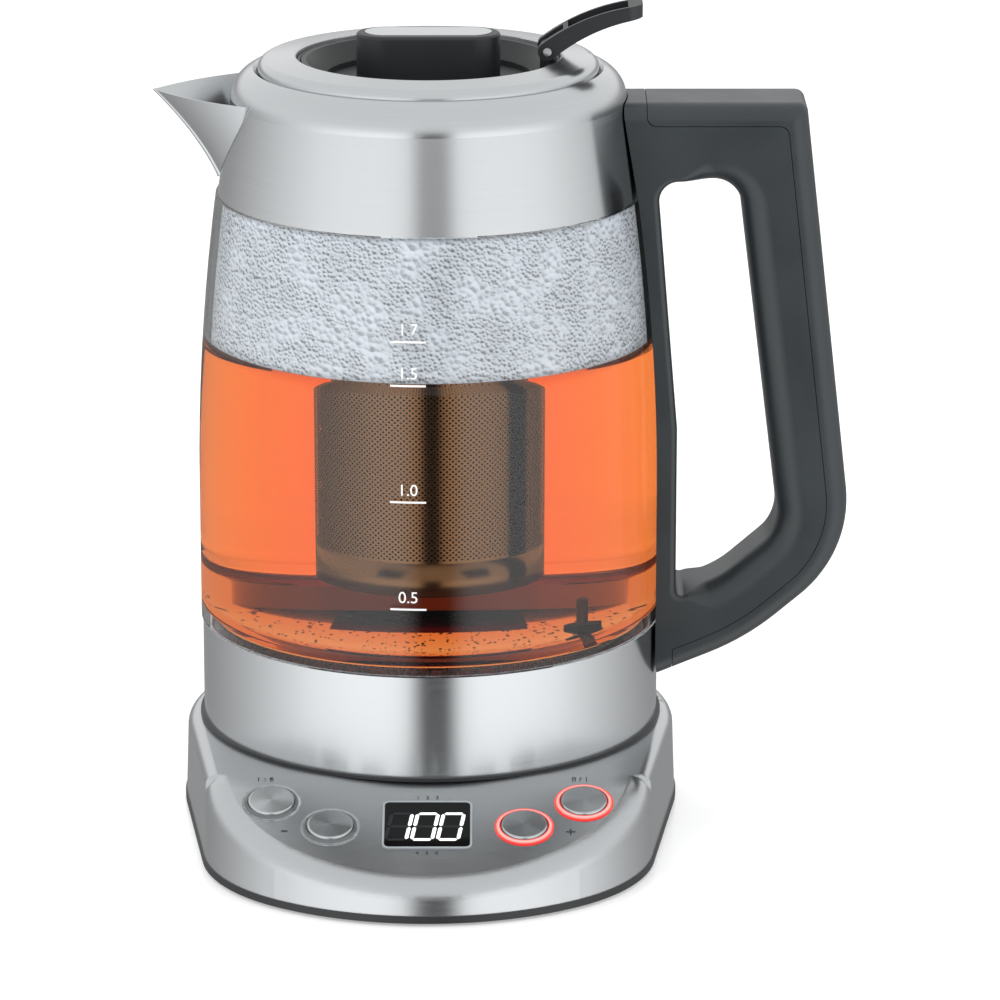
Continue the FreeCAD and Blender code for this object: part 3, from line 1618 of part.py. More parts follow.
doc.recompute()
failed = [item.Name for item in doc.Objects if "Invalid" in item.State or "Error" in item.State]
if failed:
    raise RuntimeError(f"features failed: {failed}")
os.makedirs("parts", exist_ok=True)
for name, piece in pieces.items():
    if piece.Shape.isNull() or not piece.Shape.isValid():
        raise RuntimeError(f"{name} has no valid shape")
    piece.Shape.exportStep(f"parts/{name}.step")
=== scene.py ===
import math
import random

import bmesh
import bpy
from mathutils import Matrix, Vector


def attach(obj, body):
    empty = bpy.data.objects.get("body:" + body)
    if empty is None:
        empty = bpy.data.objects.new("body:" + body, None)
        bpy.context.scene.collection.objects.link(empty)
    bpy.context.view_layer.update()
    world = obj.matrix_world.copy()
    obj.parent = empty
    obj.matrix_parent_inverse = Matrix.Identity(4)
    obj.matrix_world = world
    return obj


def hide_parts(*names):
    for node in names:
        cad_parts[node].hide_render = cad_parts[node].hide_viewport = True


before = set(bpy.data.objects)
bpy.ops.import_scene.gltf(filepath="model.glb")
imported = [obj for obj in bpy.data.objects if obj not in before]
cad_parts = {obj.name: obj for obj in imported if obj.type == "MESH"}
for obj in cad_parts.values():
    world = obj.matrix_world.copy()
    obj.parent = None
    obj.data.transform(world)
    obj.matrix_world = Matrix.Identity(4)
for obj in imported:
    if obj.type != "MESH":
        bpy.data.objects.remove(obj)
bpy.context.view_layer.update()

# Studio
# A white table top in a pale room with two broad bright walls. The narrow dark gap between the
# walls draws the dark upright stripe down the middle of every piece of brushed steel.

GAP_TURN = math.radians(3)
WALL_LEVELS = [(0.0, 0.05), (0.032, 0.06), (0.08, 0.85), (0.12, 0.98), (0.18, 1.0),
               (0.267, 0.96), (0.356, 0.86), (0.444, 0.68), (0.533, 0.54), (0.62, 0.42),
               (0.71, 0.33), (0.8, 0.26), (0.889, 0.22), (1.0, 0.24)]
ABOVE_TABLE_COLOUR = (0.62, 0.62, 0.62, 1)
CEILING_COLOUR = (0.6, 0.6, 0.6, 1)
STUDIO_STRENGTH = 1.5
SOFT_BOXES = (
    ("left_soft_box", (-1.3, -1.3, 1.1), (0, 0, 0.12), 1.0, 1.4, 13),
    ("right_soft_box", (1.5, -1.1, 1.0), (0, 0, 0.12), 1.0, 1.4, 11),
    ("top_soft_box", (0.0, 0.5, 1.8), (0, 0, 0.1), 1.4, 1.0, 9),
)
TABLE_RADIUS = 6.0
TABLE_GLOW = 0.35
CAMERA_PLACE = (0.019, -1.626, 0.565)
CAMERA_DOWN = 16


def linear(hex_colour):
    """Linear colour of an sRGB hex value."""
    channels = [int(hex_colour[i:i + 2], 16) / 255 for i in (1, 3, 5)]
    return [c / 12.92 if c <= 0.04045 else ((c + 0.055) / 1.055) ** 2.4 for c in channels] + [1.0]


def add_node(tree, kind, sockets=None, **settings):
    """Add a node, set it up, and fill its sockets with values or with other nodes' outputs."""
    node = tree.nodes.new(kind)
    for name, value in settings.items():
        setattr(node, name, value)
    for name, value in (sockets or {}).items():
        if isinstance(value, bpy.types.NodeSocket):
            tree.links.new(value, node.inputs[name])
        else:
            node.inputs[name].default_value = value
    return node


def set_stops(ramp, stops):
    """Give a colour ramp its stops: places from 0 to 1, each with a grey level."""
    elements = ramp.color_ramp.elements
    while len(elements) > 1:
        elements.remove(elements[-1])
    elements[0].position = stops[0][0]
    elements[0].color = (*[stops[0][1]] * 3, 1)
    for place, level in stops[1:]:
        elements.new(place).color = (*[level] * 3, 1)


def seen_directly(tree, rays):
    """1 for the camera's own rays and for those that pass through glass, and else 0."""
    return add_node(tree, "ShaderNodeMath", {0: rays.outputs["Is Camera Ray"],
                                             1: rays.outputs["Is Transmission Ray"]},
                    operation="MAXIMUM").outputs[0]


scene = bpy.context.scene
scene.view_settings.view_transform = "Standard"

studio = bpy.data.worlds.new("studio")
studio.use_nodes = True
sky = studio.node_tree
sky.nodes.clear()
heading = add_node(sky, "ShaderNodeSeparateXYZ",
                   {"Vector": add_node(sky, "ShaderNodeTexCoord").outputs["Generated"]})
forwards = add_node(sky, "ShaderNodeMath", {0: heading.outputs["Y"], 1: -1.0},
                    operation="MULTIPLY")
bearing = add_node(sky, "ShaderNodeMath", {0: heading.outputs["X"], 1: forwards.outputs[0]},
                   operation="ARCTAN2")
turned = add_node(sky, "ShaderNodeMath", {0: bearing.outputs[0], 1: -GAP_TURN}, operation="ADD")
size_of_turn = add_node(sky, "ShaderNodeMath", {0: turned.outputs[0]}, operation="ABSOLUTE")
share = add_node(sky, "ShaderNodeMath", {0: size_of_turn.outputs[0], 1: math.pi},
                 operation="DIVIDE")
walls = add_node(sky, "ShaderNodeValToRGB", {"Fac": share.outputs[0]})
set_stops(walls, WALL_LEVELS)
skyline = add_node(sky, "ShaderNodeMapRange", {"Value": heading.outputs["Z"], "From Min": 0.02,
                                               "From Max": 0.12})
backdrop = add_node(sky, "ShaderNodeMix", {0: skyline.outputs[0], 6: walls.outputs["Color"],
                                           7: ABOVE_TABLE_COLOUR}, data_type="RGBA")
overhead = add_node(sky, "ShaderNodeMapRange", {"Value": heading.outputs["Z"], "From Min": 0.35,
                                                "From Max": 0.8}, interpolation_type="SMOOTHSTEP")
room = add_node(sky, "ShaderNodeMix", {0: overhead.outputs[0], 6: backdrop.outputs[2],
                                       7: CEILING_COLOUR}, data_type="RGBA")
rays = add_node(sky, "ShaderNodeLightPath")
unreflected = add_node(sky, "ShaderNodeMath", {0: rays.outputs["Glossy Depth"], 1: 0.5},
                       operation="LESS_THAN")
seen = add_node(sky, "ShaderNodeMath", {0: seen_directly(sky, rays), 1: unreflected.outputs[0]},
                operation="MULTIPLY")
lit = add_node(sky, "ShaderNodeBackground", {"Color": room.outputs[2],
                                             "Strength": STUDIO_STRENGTH})
white = add_node(sky, "ShaderNodeBackground", {"Color": (1, 1, 1, 1), "Strength": 1.0})
mixed = add_node(sky, "ShaderNodeMixShader", {0: seen.outputs[0], 1: lit.outputs[0],
                                              2: white.outputs[0]})
add_node(sky, "ShaderNodeOutputWorld", {"Surface": mixed.outputs[0]})
scene.world = studio

for name, place, aim, width, tall, power in SOFT_BOXES:
    lamp = bpy.data.lights.new(name, "AREA")
    lamp.shape = "RECTANGLE"
    lamp.size = width
    lamp.size_y = tall
    lamp.energy = power
    holder = bpy.data.objects.new(name, lamp)
    towards = (Vector(aim) - Vector(place)).to_track_quat("-Z", "Y")
    holder.matrix_world = Matrix.Translation(place) @ towards.to_matrix().to_4x4()
    holder.visible_glossy = False
    scene.collection.objects.link(holder)

table_mesh = bmesh.new()
bmesh.ops.create_circle(table_mesh, cap_ends=True, segments=96, radius=TABLE_RADIUS)
table_data = bpy.data.meshes.new("table_top")
table_mesh.to_mesh(table_data)
table_mesh.free()
table = bpy.data.objects.new("table_top", table_data)
scene.collection.objects.link(table)
table_surface = bpy.data.materials.new("white_table_top")
table_surface.use_nodes = True
tree = table_surface.node_tree
tree.nodes.clear()
gloss = add_node(tree, "ShaderNodeBsdfPrincipled", {"Base Color": linear("#e0e0e0"),
                                                    "Roughness": 0.1, "IOR": 1.45})
seen = seen_directly(tree, add_node(tree, "ShaderNodeLightPath"))
lift = add_node(tree, "ShaderNodeMath", {0: seen, 1: TABLE_GLOW}, operation="MULTIPLY")
glow = add_node(tree, "ShaderNodeEmission", {"Color": (1, 1, 1, 1), "Strength": lift.outputs[0]})
both = add_node(tree, "ShaderNodeAddShader", {0: gloss.outputs[0], 1: glow.outputs[0]})
add_node(tree, "ShaderNodeOutputMaterial", {"Surface": both.outputs[0]})
table.data.materials.append(table_surface)
table.visible_glossy = False

camera = bpy.data.cameras.new("camera")
camera.lens = 192.85
camera.sensor_width = 36.0
camera.shift_x = 0.0100
camera.shift_y = -0.0027
camera_holder = bpy.data.objects.new("camera", camera)
camera_holder.location = CAMERA_PLACE
camera_holder.rotation_euler = (math.radians(90 - CAMERA_DOWN), 0, 0)
scene.collection.objects.link(camera_holder)
scene.camera = camera_holder

# Foot ring, pan and dock
# The pan, the dock ring, the connector hub and the lead's inlet are moulded in black ABS. The
# foot is a ring of silicone rubber, set in a groove under the pan.


def new_surface(name):
    """A material with an empty tree."""
    surface = bpy.data.materials.new(name)
    surface.use_nodes = True
    surface.node_tree.nodes.clear()
    return surface, surface.node_tree


def object_place(tree, scale=(1, 1, 1)):
    """Object coordinates, multiplied by a scale along each axis."""
    place = add_node(tree, "ShaderNodeTexCoord").outputs["Object"]
    return add_node(tree, "ShaderNodeVectorMath", {0: place, 1: scale},
                    operation="MULTIPLY").outputs[0]


def moulded_plastic(name, colour, roughness, grain_mm, relief_mm):
    """Injection-moulded plastic: the mould's fine grain breaks up its shine, and its tone drifts."""
    surface, tree = new_surface(name)
    grain = add_node(tree, "ShaderNodeTexNoise", {"Vector": object_place(tree),
                                                  "Scale": 1000 / grain_mm, "Detail": 2.0})
    patches = add_node(tree, "ShaderNodeTexNoise", {"Vector": object_place(tree),
                                                    "Scale": 45.0, "Detail": 3.0})
    shade = add_node(tree, "ShaderNodeMapRange", {"Value": patches.outputs[0], "From Min": 0.3,
                                                  "From Max": 0.7, "To Min": 0.9,
                                                  "To Max": 1.1})
    tint = add_node(tree, "ShaderNodeVectorMath", {0: linear(colour)[:3],
                                                   "Scale": shade.outputs[0]},
                    operation="SCALE")
    shine = add_node(tree, "ShaderNodeMapRange", {"Value": patches.outputs[0], "From Min": 0.3,
                                                  "From Max": 0.7, "To Min": roughness - 0.04,
                                                  "To Max": roughness + 0.04})
    relief = add_node(tree, "ShaderNodeBump", {"Height": grain.outputs[0], "Strength": 0.5,
                                               "Distance": relief_mm / 1000})
    shader = add_node(tree, "ShaderNodeBsdfPrincipled", {
        "Base Color": tint.outputs[0], "Roughness": shine.outputs[0], "IOR": 1.53,
        "Normal": relief.outputs[0]})
    add_node(tree, "ShaderNodeOutputMaterial", {"Surface": shader.outputs[0]})
    return surface


def clad(surface, *names):
    """Give CAD nodes a surface."""
    for name in names:
        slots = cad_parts[name].data.materials
        slots.clear()
        slots.append(surface)


black_abs = moulded_plastic("moulded_black_abs", "#1d1f21", 0.42, 0.35, 0.02)
silicone = moulded_plastic("moulded_silicone_rubber", "#161616", 0.62, 0.5, 0.02)
clad(black_abs, "base_pan", "dock_plate", "connector_hub", "lead_inlet")
clad(silicone, "foot_ring")

# Works inside the base
# Zinc-plated screws hold the pan, and three brass rings lie in grooves of the hub. The switches
# stand on the board. The display's works and the power supply are closed blocks.


def plain_metal(name, colour, roughness, grain_mm):
    """Metal with an even finish: a faint cast or plated grain varies its shine."""
    surface, tree = new_surface(name)
    grain = add_node(tree, "ShaderNodeTexNoise", {"Vector": object_place(tree),
                                                  "Scale": 1000 / grain_mm, "Detail": 3.0})
    shine = add_node(tree, "ShaderNodeMapRange", {"Value": grain.outputs[0], "From Min": 0.3,
                                                  "From Max": 0.7, "To Min": roughness - 0.05,
                                                  "To Max": roughness + 0.08})
    relief = add_node(tree, "ShaderNodeBump", {"Height": grain.outputs[0], "Strength": 0.2,
                                               "Distance": 0.00002})
    shader = add_node(tree, "ShaderNodeBsdfPrincipled", {
        "Base Color": linear(colour), "Metallic": 1.0, "Roughness": shine.outputs[0],
        "Normal": relief.outputs[0]})
    add_node(tree, "ShaderNodeOutputMaterial", {"Surface": shader.outputs[0]})
    return surface


zinc = plain_metal("zinc_plated_steel", "#b4b6b8", 0.35, 0.3)
ceramic_nylon = moulded_plastic("ceramic_filled_nylon", "#cfcdc4", 0.5, 0.5, 0.03)
clad(zinc, "pan_screws")
clad(plain_metal("turned_contact_brass", "#c9a24c", 0.25, 0.4), "hub_contacts")
clad(moulded_plastic("solder_masked_board", "#1f5a33", 0.35, 0.8, 0.02), "control_board")
clad(ceramic_nylon, "power_supply", "button_switches")
clad(moulded_plastic("sealed_display_housing", "#26272a", 0.4, 0.4, 0.02), "display_module")

# Base cover
# Deep-drawn stainless sheet, brushed on a belt: along the walls, and from left to right on the
# flat top. The lines draw each reflection out across them.


def brushed_steel(name, colour, tangent, lines_at, line_mm, roughness=0.24, stretch=0.88):
    """Brushed stainless steel: its lines draw each reflection out across them.

    They are drawn further apart than a real belt or tool leaves them, so that they show.
    """
    surface, tree = new_surface(name)
    lines = add_node(tree, "ShaderNodeTexNoise", {"Vector": lines_at(tree, line_mm),
                                                  "Scale": 1.0, "Detail": 3.0,
                                                  "Roughness": 0.6})
    shade = add_node(tree, "ShaderNodeMapRange", {"Value": lines.outputs[0], "From Min": 0.3,
                                                  "From Max": 0.7, "To Min": 0.97,
                                                  "To Max": 1.02})
    tint = add_node(tree, "ShaderNodeVectorMath", {0: linear(colour)[:3],
                                                   "Scale": shade.outputs[0]},
                    operation="SCALE")
    shine = add_node(tree, "ShaderNodeMapRange", {"Value": lines.outputs[0], "From Min": 0.3,
                                                  "From Max": 0.7, "To Min": roughness - 0.02,
                                                  "To Max": roughness + 0.03})
    relief = add_node(tree, "ShaderNodeBump", {"Height": lines.outputs[0], "Strength": 0.15,
                                               "Distance": 0.00001})
    shader = add_node(tree, "ShaderNodeBsdfPrincipled", {
        "Base Color": tint.outputs[0], "Metallic": 1.0, "Roughness": shine.outputs[0],
        "Anisotropic": stretch, "Anisotropic Rotation": 0.25, "Tangent": tangent(tree),
        "Normal": relief.outputs[0]})
    add_node(tree, "ShaderNodeOutputMaterial", {"Surface": shader.outputs[0]})
    return surface


def level_tangent(tree):
    """Level direction along the face, and from left to right on a flat top."""
    facing = add_node(tree, "ShaderNodeNewGeometry").outputs["Normal"]
    along = add_node(tree, "ShaderNodeVectorMath", {0: (0, 0, 1), 1: facing},
                     operation="CROSS_PRODUCT").outputs[0]
    return add_node(tree, "ShaderNodeVectorMath", {0: along, 1: (0.05, 0, 0)},
                    operation="ADD").outputs[0]


def level_lines(tree, line_mm):
    """Coordinates for lines along the walls, and from left to right on the top."""
    facing = add_node(tree, "ShaderNodeNewGeometry").outputs["Normal"]
    upward = add_node(tree, "ShaderNodeSeparateXYZ", {"Vector": facing}).outputs["Z"]
    on_top = add_node(tree, "ShaderNodeMapRange", {"Value": upward, "From Min": 0.55,
                                                   "From Max": 0.75}).outputs[0]
    fine, coarse = 1000 / line_mm, 1000 / (line_mm * 60)
    wall = object_place(tree, (coarse, coarse, fine))
    top = object_place(tree, (coarse, fine, coarse))
    return add_node(tree, "ShaderNodeMix", {0: on_top, 4: wall, 5: top},
                    data_type="VECTOR").outputs[1]


clad(brushed_steel("belt_brushed_base_steel", "#c6c9cb", level_tangent, level_lines, 0.22),
     "base_cover")

# Button caps and light guides
# The caps are turned steel with fine rings from the tool, and each sits in a guide of clear
# acrylic. Red lamps light the two guides on the right, most of all at their rims.

PANEL_BREAK = 0.0715
PANEL_TOP = 0.029
PANEL_SLOPE = math.radians(18)
PANEL_FACING = (0, -math.sin(PANEL_SLOPE), math.cos(PANEL_SLOPE))
BUTTONS = {"program": (-0.0476, 0.0118), "minus": (-0.0294, 0.0239),
           "plus": (0.0294, 0.0239), "power": (0.0476, 0.0118)}
LIT_BUTTONS = ("plus", "power")
CAP_MIDDLE_UP = 0.0017
GUIDE_MIDDLE_UP = 0.0008
GUIDE_INNER_RIM = 0.0073
GUIDE_OUTER_RIM = 0.009
RED_STOPS = [(0.0, "#5a1512"), (0.12, "#ff3b33"), (0.3, "#f0a49c"), (0.55, "#d98a84"),
             (0.78, "#ff4a40"), (1.0, "#d81f1c")]


def panel_place(across, down, up=0.0):
    """Matrix that puts a flat piece on the panel: across it, down its slope, up from its face."""
    if down < 0:
        return Matrix.Translation((across, -PANEL_BREAK - down, PANEL_TOP + up))
    y = -(PANEL_BREAK + down * math.cos(PANEL_SLOPE)) - up * math.sin(PANEL_SLOPE)
    z = PANEL_TOP - down * math.sin(PANEL_SLOPE) + up * math.cos(PANEL_SLOPE)
    return Matrix.Translation((across, y, z)) @ Matrix.Rotation(PANEL_SLOPE, 4, "X")


def arm_from(tree, centre):
    """Vector from a button's centre to the point that is shaded."""
    place = add_node(tree, "ShaderNodeTexCoord").outputs["Object"]
    return add_node(tree, "ShaderNodeVectorMath", {0: place, 1: centre},
                    operation="SUBTRACT").outputs[0]


def distance_from(tree, centre):
    """Distance from a button's centre."""
    return add_node(tree, "ShaderNodeVectorMath", {0: arm_from(tree, centre)},
                    operation="LENGTH").outputs["Value"]


def cap_tangent(centre):
    """Direction of the tool's rings round a cap."""
    def tangent(tree):
        return add_node(tree, "ShaderNodeVectorMath", {0: PANEL_FACING,
                                                       1: arm_from(tree, centre)},
                        operation="CROSS_PRODUCT").outputs[0]
    return tangent


def cap_lines(centre):
    """Coordinates that run outwards only, for the tool's rings on a cap."""
    def lines(tree, line_mm):
        rings = add_node(tree, "ShaderNodeMath", {0: distance_from(tree, centre),
                                                  1: 1000 / line_mm}, operation="MULTIPLY")
        return add_node(tree, "ShaderNodeCombineXYZ", {"X": rings.outputs[0]}).outputs[0]
    return lines


def polished_acrylic(name, colour, haze_scale, least_rough, most_rough, sockets):
    """Polished acrylic: a faint haze from handling dulls it in places."""
    surface, tree = new_surface(name)
    haze = add_node(tree, "ShaderNodeTexNoise", {"Vector": object_place(tree),
                                                 "Scale": haze_scale})
    shine = add_node(tree, "ShaderNodeMapRange", {"Value": haze.outputs[0],
                                                  "To Min": least_rough, "To Max": most_rough})
    shader = add_node(tree, "ShaderNodeBsdfPrincipled", {
        "Base Color": linear(colour), "Roughness": shine.outputs[0], "IOR": 1.49, **sockets})
    add_node(tree, "ShaderNodeOutputMaterial", {"Surface": shader.outputs[0]})
    return surface


def lit_guide(name, centre):
    """Acrylic lit from within by a red lamp: brightest at its two rims, paler between them."""
    surface, tree = new_surface(name)
    across = add_node(tree, "ShaderNodeMapRange", {"Value": distance_from(tree, centre),
                                                   "From Min": GUIDE_INNER_RIM,
                                                   "From Max": GUIDE_OUTER_RIM})
    ramp = add_node(tree, "ShaderNodeValToRGB", {"Fac": across.outputs[0]})
    elements = ramp.color_ramp.elements
    elements[0].color = linear(RED_STOPS[0][1])
    elements[1].color = linear(RED_STOPS[-1][1])
    for stop, colour in RED_STOPS[1:-1]:
        elements.new(stop).color = linear(colour)
    shader = add_node(tree, "ShaderNodeBsdfPrincipled", {
        "Base Color": ramp.outputs[0], "Roughness": 0.08, "IOR": 1.49,
        "Emission Color": ramp.outputs[0], "Emission Strength": 0.55})
    add_node(tree, "ShaderNodeOutputMaterial", {"Surface": shader.outputs[0]})
    return surface


clear_guide = polished_acrylic("clear_moulded_acrylic", "#d6dadd", 900.0, 0.03, 0.12,
                               {"Transmission Weight": 0.85})
for button, (across, down) in BUTTONS.items():
    cap_centre = panel_place(across, down, CAP_MIDDLE_UP).to_translation()
    clad(brushed_steel(f"turned_cap_steel_{button}", "#c9ccce", cap_tangent(cap_centre),
                       cap_lines(cap_centre), 0.12), f"{button}_button")
    guide_centre = panel_place(across, down, GUIDE_MIDDLE_UP).to_translation()
    guide = clear_guide
    if button in LIT_BUTTONS:
        guide = lit_guide(f"red_lit_acrylic_{button}", guide_centre)
    clad(guide, f"{button}_light_ring")
    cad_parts[f"{button}_light_ring"].visible_glossy = False

# Display
# A window of smoked acrylic in a grey trim. The digits are bars that glow white through it, and
# the bars that are off show as faint grey shapes. Both are drawn on the window's face.

DIGIT_TALL = 0.0128
DIGIT_WIDE = 0.0062
DIGIT_STEP = 0.00785
DIGITS_TO_LEFT = 0.0007
DIGITS_DOWN = 0.0238
DIGITS_UP = 0.00041
SEGMENT_WIDE = 0.0011
SEGMENT_GAP = 0.00025
SEGMENT_THICK = 0.00006
LEAN = 0.14
SEGMENTS = {
    "a": ((0, 1), (1, 1)), "b": ((1, 1), (1, 0.5)), "c": ((1, 0.5), (1, 0)),
    "d": ((0, 0), (1, 0)), "e": ((0, 0.5), (0, 0)), "f": ((0, 1), (0, 0.5)),
    "g": ((0, 0.5), (1, 0.5)),
}
SHAPES = {"1": "bc", "0": "abcdef"}


def piece_from(mesh, name, surface, body, smooth=False):
    """Make an object of a bmesh, give it its surface, and let it ride on its body."""
    data = bpy.data.meshes.new(name)
    mesh.to_mesh(data)
    mesh.free()
    data.materials.append(surface)
    if smooth:
        data.shade_smooth()
    else:
        data.shade_flat()
    made = bpy.data.objects.new(name, data)
    scene.collection.objects.link(made)
    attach(made, body)
    return made


def lamp_surface(name, colour, strength):
    """The face of a display bar: it glows evenly, with a faint mottle from the diffuser."""
    surface, tree = new_surface(name)
    mottle = add_node(tree, "ShaderNodeTexNoise", {"Vector": object_place(tree),
                                                   "Scale": 700.0})
    glow = add_node(tree, "ShaderNodeMapRange", {"Value": mottle.outputs[0],
                                                 "To Min": strength * 0.9, "To Max": strength})
    shader = add_node(tree, "ShaderNodeBsdfPrincipled", {
        "Base Color": linear(colour), "Roughness": 0.4, "Emission Color": linear(colour),
        "Emission Strength": glow.outputs[0]})
    add_node(tree, "ShaderNodeOutputMaterial", {"Surface": shader.outputs[0]})
    return surface


def draw_segment(mesh, start, end):
    """A bar with pointed ends, leaning as the digits do."""
    start, end = Vector(start), Vector(end)
    along = (end - start).normalized()
    side = Vector((-along.y, along.x)) * SEGMENT_WIDE / 2
    start, end = start + along * SEGMENT_GAP, end - along * SEGMENT_GAP
    tip = along * SEGMENT_WIDE / 2
    outline = [start, start + tip - side, end - tip - side, end, end - tip + side,
               start + tip + side]
    corners = [mesh.verts.new((p.x + LEAN * p.y, p.y, 0)) for p in outline]
    face = mesh.faces.new(corners)
    raised = bmesh.ops.extrude_face_region(mesh, geom=[face])
    bmesh.ops.translate(mesh, vec=(0, 0, SEGMENT_THICK),
                        verts=[v for v in raised["geom"] if isinstance(v, bmesh.types.BMVert)])


clad(polished_acrylic("smoked_polished_acrylic", "#050506", 500.0, 0.05, 0.1,
                      {"Specular IOR Level": 0.25}), "display_window")
clad(moulded_plastic("moulded_grey_trim", "#9fa4a8", 0.3, 0.3, 0.01), "display_bezel")
lean_aside = LEAN * DIGIT_TALL / 2
for lit, name, surface in (
    (True, "display_digits_lit", lamp_surface("white_display_segment", "#f4f7f5", 0.8)),
    (False, "display_digits_unlit", lamp_surface("unlit_display_segment", "#1b1b1d", 0.0)),
):
    mesh = bmesh.new()
    for number, digit in enumerate("100"):
        left = (number - 1) * DIGIT_STEP - DIGITS_TO_LEFT - DIGIT_WIDE / 2
        for segment, ends in SEGMENTS.items():
            if (segment in SHAPES[digit]) == lit:
                draw_segment(mesh, *[(left + x * DIGIT_WIDE - lean_aside,
                                      (y - 0.5) * DIGIT_TALL) for x, y in ends])
    bmesh.ops.recalc_face_normals(mesh, faces=mesh.faces)
    bmesh.ops.transform(mesh, matrix=panel_place(lean_aside, DIGITS_DOWN, DIGITS_UP),
                        verts=mesh.verts)
    piece_from(mesh, name, surface, "power_base")

# Prints on the panel
# Grey ink, pad-printed on the steel: a sign beside two of the buttons, and small numbers over
# the other two and above and below the display.

CAPITAL_SHARE = 0.73
INK_THICK = 0.00004
INK_UP = 0.00003
PANEL_PRINTS = (
    ("print_minus", "-", 0.0055, -0.0432, 0.0249), ("print_plus", "+", 0.0045, 0.0434, 0.0262),
    ("print_range", "1 - 6", 0.0021, -0.0500, -0.0018),
    ("print_power", "0 / 1", 0.0021, 0.0467, -0.0018),
    ("print_upper", "1   2   3", 0.0016, 0.0, 0.0089),
    ("print_lower", "4   5   6", 0.0016, 0.0, 0.0363),
)


def printed_ink(name, colour):
    """Printed ink: matt, and uneven as the film dried."""
    surface, tree = new_surface(name)
    film = add_node(tree, "ShaderNodeTexNoise", {"Vector": object_place(tree), "Scale": 2500.0})
    shine = add_node(tree, "ShaderNodeMapRange", {"Value": film.outputs[0], "To Min": 0.45,
                                                  "To Max": 0.65})
    shader = add_node(tree, "ShaderNodeBsdfPrincipled", {"Base Color": linear(colour),
                                                         "Roughness": shine.outputs[0]})
    add_node(tree, "ShaderNodeOutputMaterial", {"Surface": shader.outputs[0]})
    return surface


def lettered(text, tall):
    """Mesh of a short text, centred, with its capitals as tall as asked."""
    curve = bpy.data.curves.new("print", "FONT")
    curve.body = text
    curve.size = tall / CAPITAL_SHARE
    curve.align_x = "CENTER"
    curve.align_y = "CENTER"
    curve.extrude = INK_THICK
    holder = bpy.data.objects.new("print", curve)
    scene.collection.objects.link(holder)
    bpy.context.view_layer.update()
    data = bpy.data.meshes.new_from_object(holder)
    mesh = bmesh.new()
    mesh.from_mesh(data)
    bpy.data.objects.remove(holder)
    bpy.data.curves.remove(curve)
    bpy.data.meshes.remove(data)
    return mesh


grey_ink = printed_ink("grey_pad_print", "#2b2f33")
for name, text, tall, across, down in PANEL_PRINTS:
    mesh = lettered(text, tall)
    bmesh.ops.transform(mesh, matrix=panel_place(across, down, INK_UP), verts=mesh.verts)
    piece_from(mesh, name, grey_ink, "power_base")

# Kettle band, floor and collar
# Rolled stainless sheet, brushed on the lathe, so the lines run round the kettle. The floor is
# drawn from duller sheet and left with a soft satin face.


def round_tangent(tree):
    """Direction round the kettle's axis."""
    place = add_node(tree, "ShaderNodeTexCoord").outputs["Object"]
    return add_node(tree, "ShaderNodeVectorMath", {0: (0, 0, 1), 1: place},
                    operation="CROSS_PRODUCT").outputs[0]


def round_lines(tree, line_mm):
    """Coordinates that run slowly round the kettle and fast up it and out from its axis."""
    place = add_node(tree, "ShaderNodeTexCoord").outputs["Object"]
    parts = add_node(tree, "ShaderNodeSeparateXYZ", {"Vector": place})
    angle = add_node(tree, "ShaderNodeMath", {0: parts.outputs["X"], 1: parts.outputs["Y"]},
                     operation="ARCTAN2").outputs[0]
    slow = add_node(tree, "ShaderNodeMath", {0: angle, 1: 1.2}, operation="MULTIPLY").outputs[0]
    flat = add_node(tree, "ShaderNodeVectorMath", {0: place, 1: (1, 1, 0)},
                    operation="MULTIPLY").outputs[0]
    out = add_node(tree, "ShaderNodeVectorMath", {0: flat}, operation="LENGTH").outputs["Value"]
    up = add_node(tree, "ShaderNodeMath", {0: parts.outputs["Z"], 1: 1000 / line_mm},
                  operation="MULTIPLY").outputs[0]
    out = add_node(tree, "ShaderNodeMath", {0: out, 1: 1000 / line_mm},
                   operation="MULTIPLY").outputs[0]
    return add_node(tree, "ShaderNodeCombineXYZ", {"X": slow, "Y": up, "Z": out}).outputs[0]


turned_steel = brushed_steel("lathe_brushed_steel", "#cdd0d2", round_tangent, round_lines, 0.2,
                             roughness=0.22)
clad(turned_steel, "kettle_band", "collar")
clad(brushed_steel("drawn_floor_steel", "#a89f98", round_tangent, round_lines, 0.4,
                   roughness=0.55, stretch=0.2), "kettle_floor")

# Works under the kettle's floor
# A ring-shaped heater lies under an aluminium plate, and a cut-out of heat-proof nylon between
# the plate and the hub's socket. Socket and cover are black ABS, and the probe's gland is silicone.

clad(plain_metal("rolled_aluminium", "#c3c5c7", 0.38, 0.5), "heat_spreader")
clad(plain_metal("cast_heater_aluminium", "#a9abad", 0.5, 0.8), "heating_element")
clad(plain_metal("dull_probe_steel", "#8d8d8c", 0.4, 0.4), "sensor_probe")
clad(ceramic_nylon, "thermal_cutout")
clad(black_abs, "kettle_underside", "kettle_socket")
clad(silicone, "sensor_gland")

# Spout
# Stainless sheet, brushed level and welded over a window in the collar's wall. A black plastic
# frame lines the window and holds the filter, a plain sheet here, without its fine holes.

clad(brushed_steel("brushed_spout_steel", "#cdd0d2", level_tangent, level_lines, 0.22), "spout")
clad(black_abs, "spout_filter_frame")
clad(moulded_plastic("pierced_filter_nylon", "#131415", 0.4, 0.5, 0.04), "spout_filter_mesh")

# Glass
# A blown borosilicate tube, drawn in to a neck and fire-polished round its foot, between two
# seals of clear grey silicone. Shadow rays pass straight through, so light reaches the tea.

GLASS_RADIUS = 0.0725
GLASS_BEND = 0.105
GLASS_CURVE = 0.68960
GLASS_TINT = "#fbfdfd"
GLASS_IOR = 1.47
UNMIRRORED_SHARE = 0.6


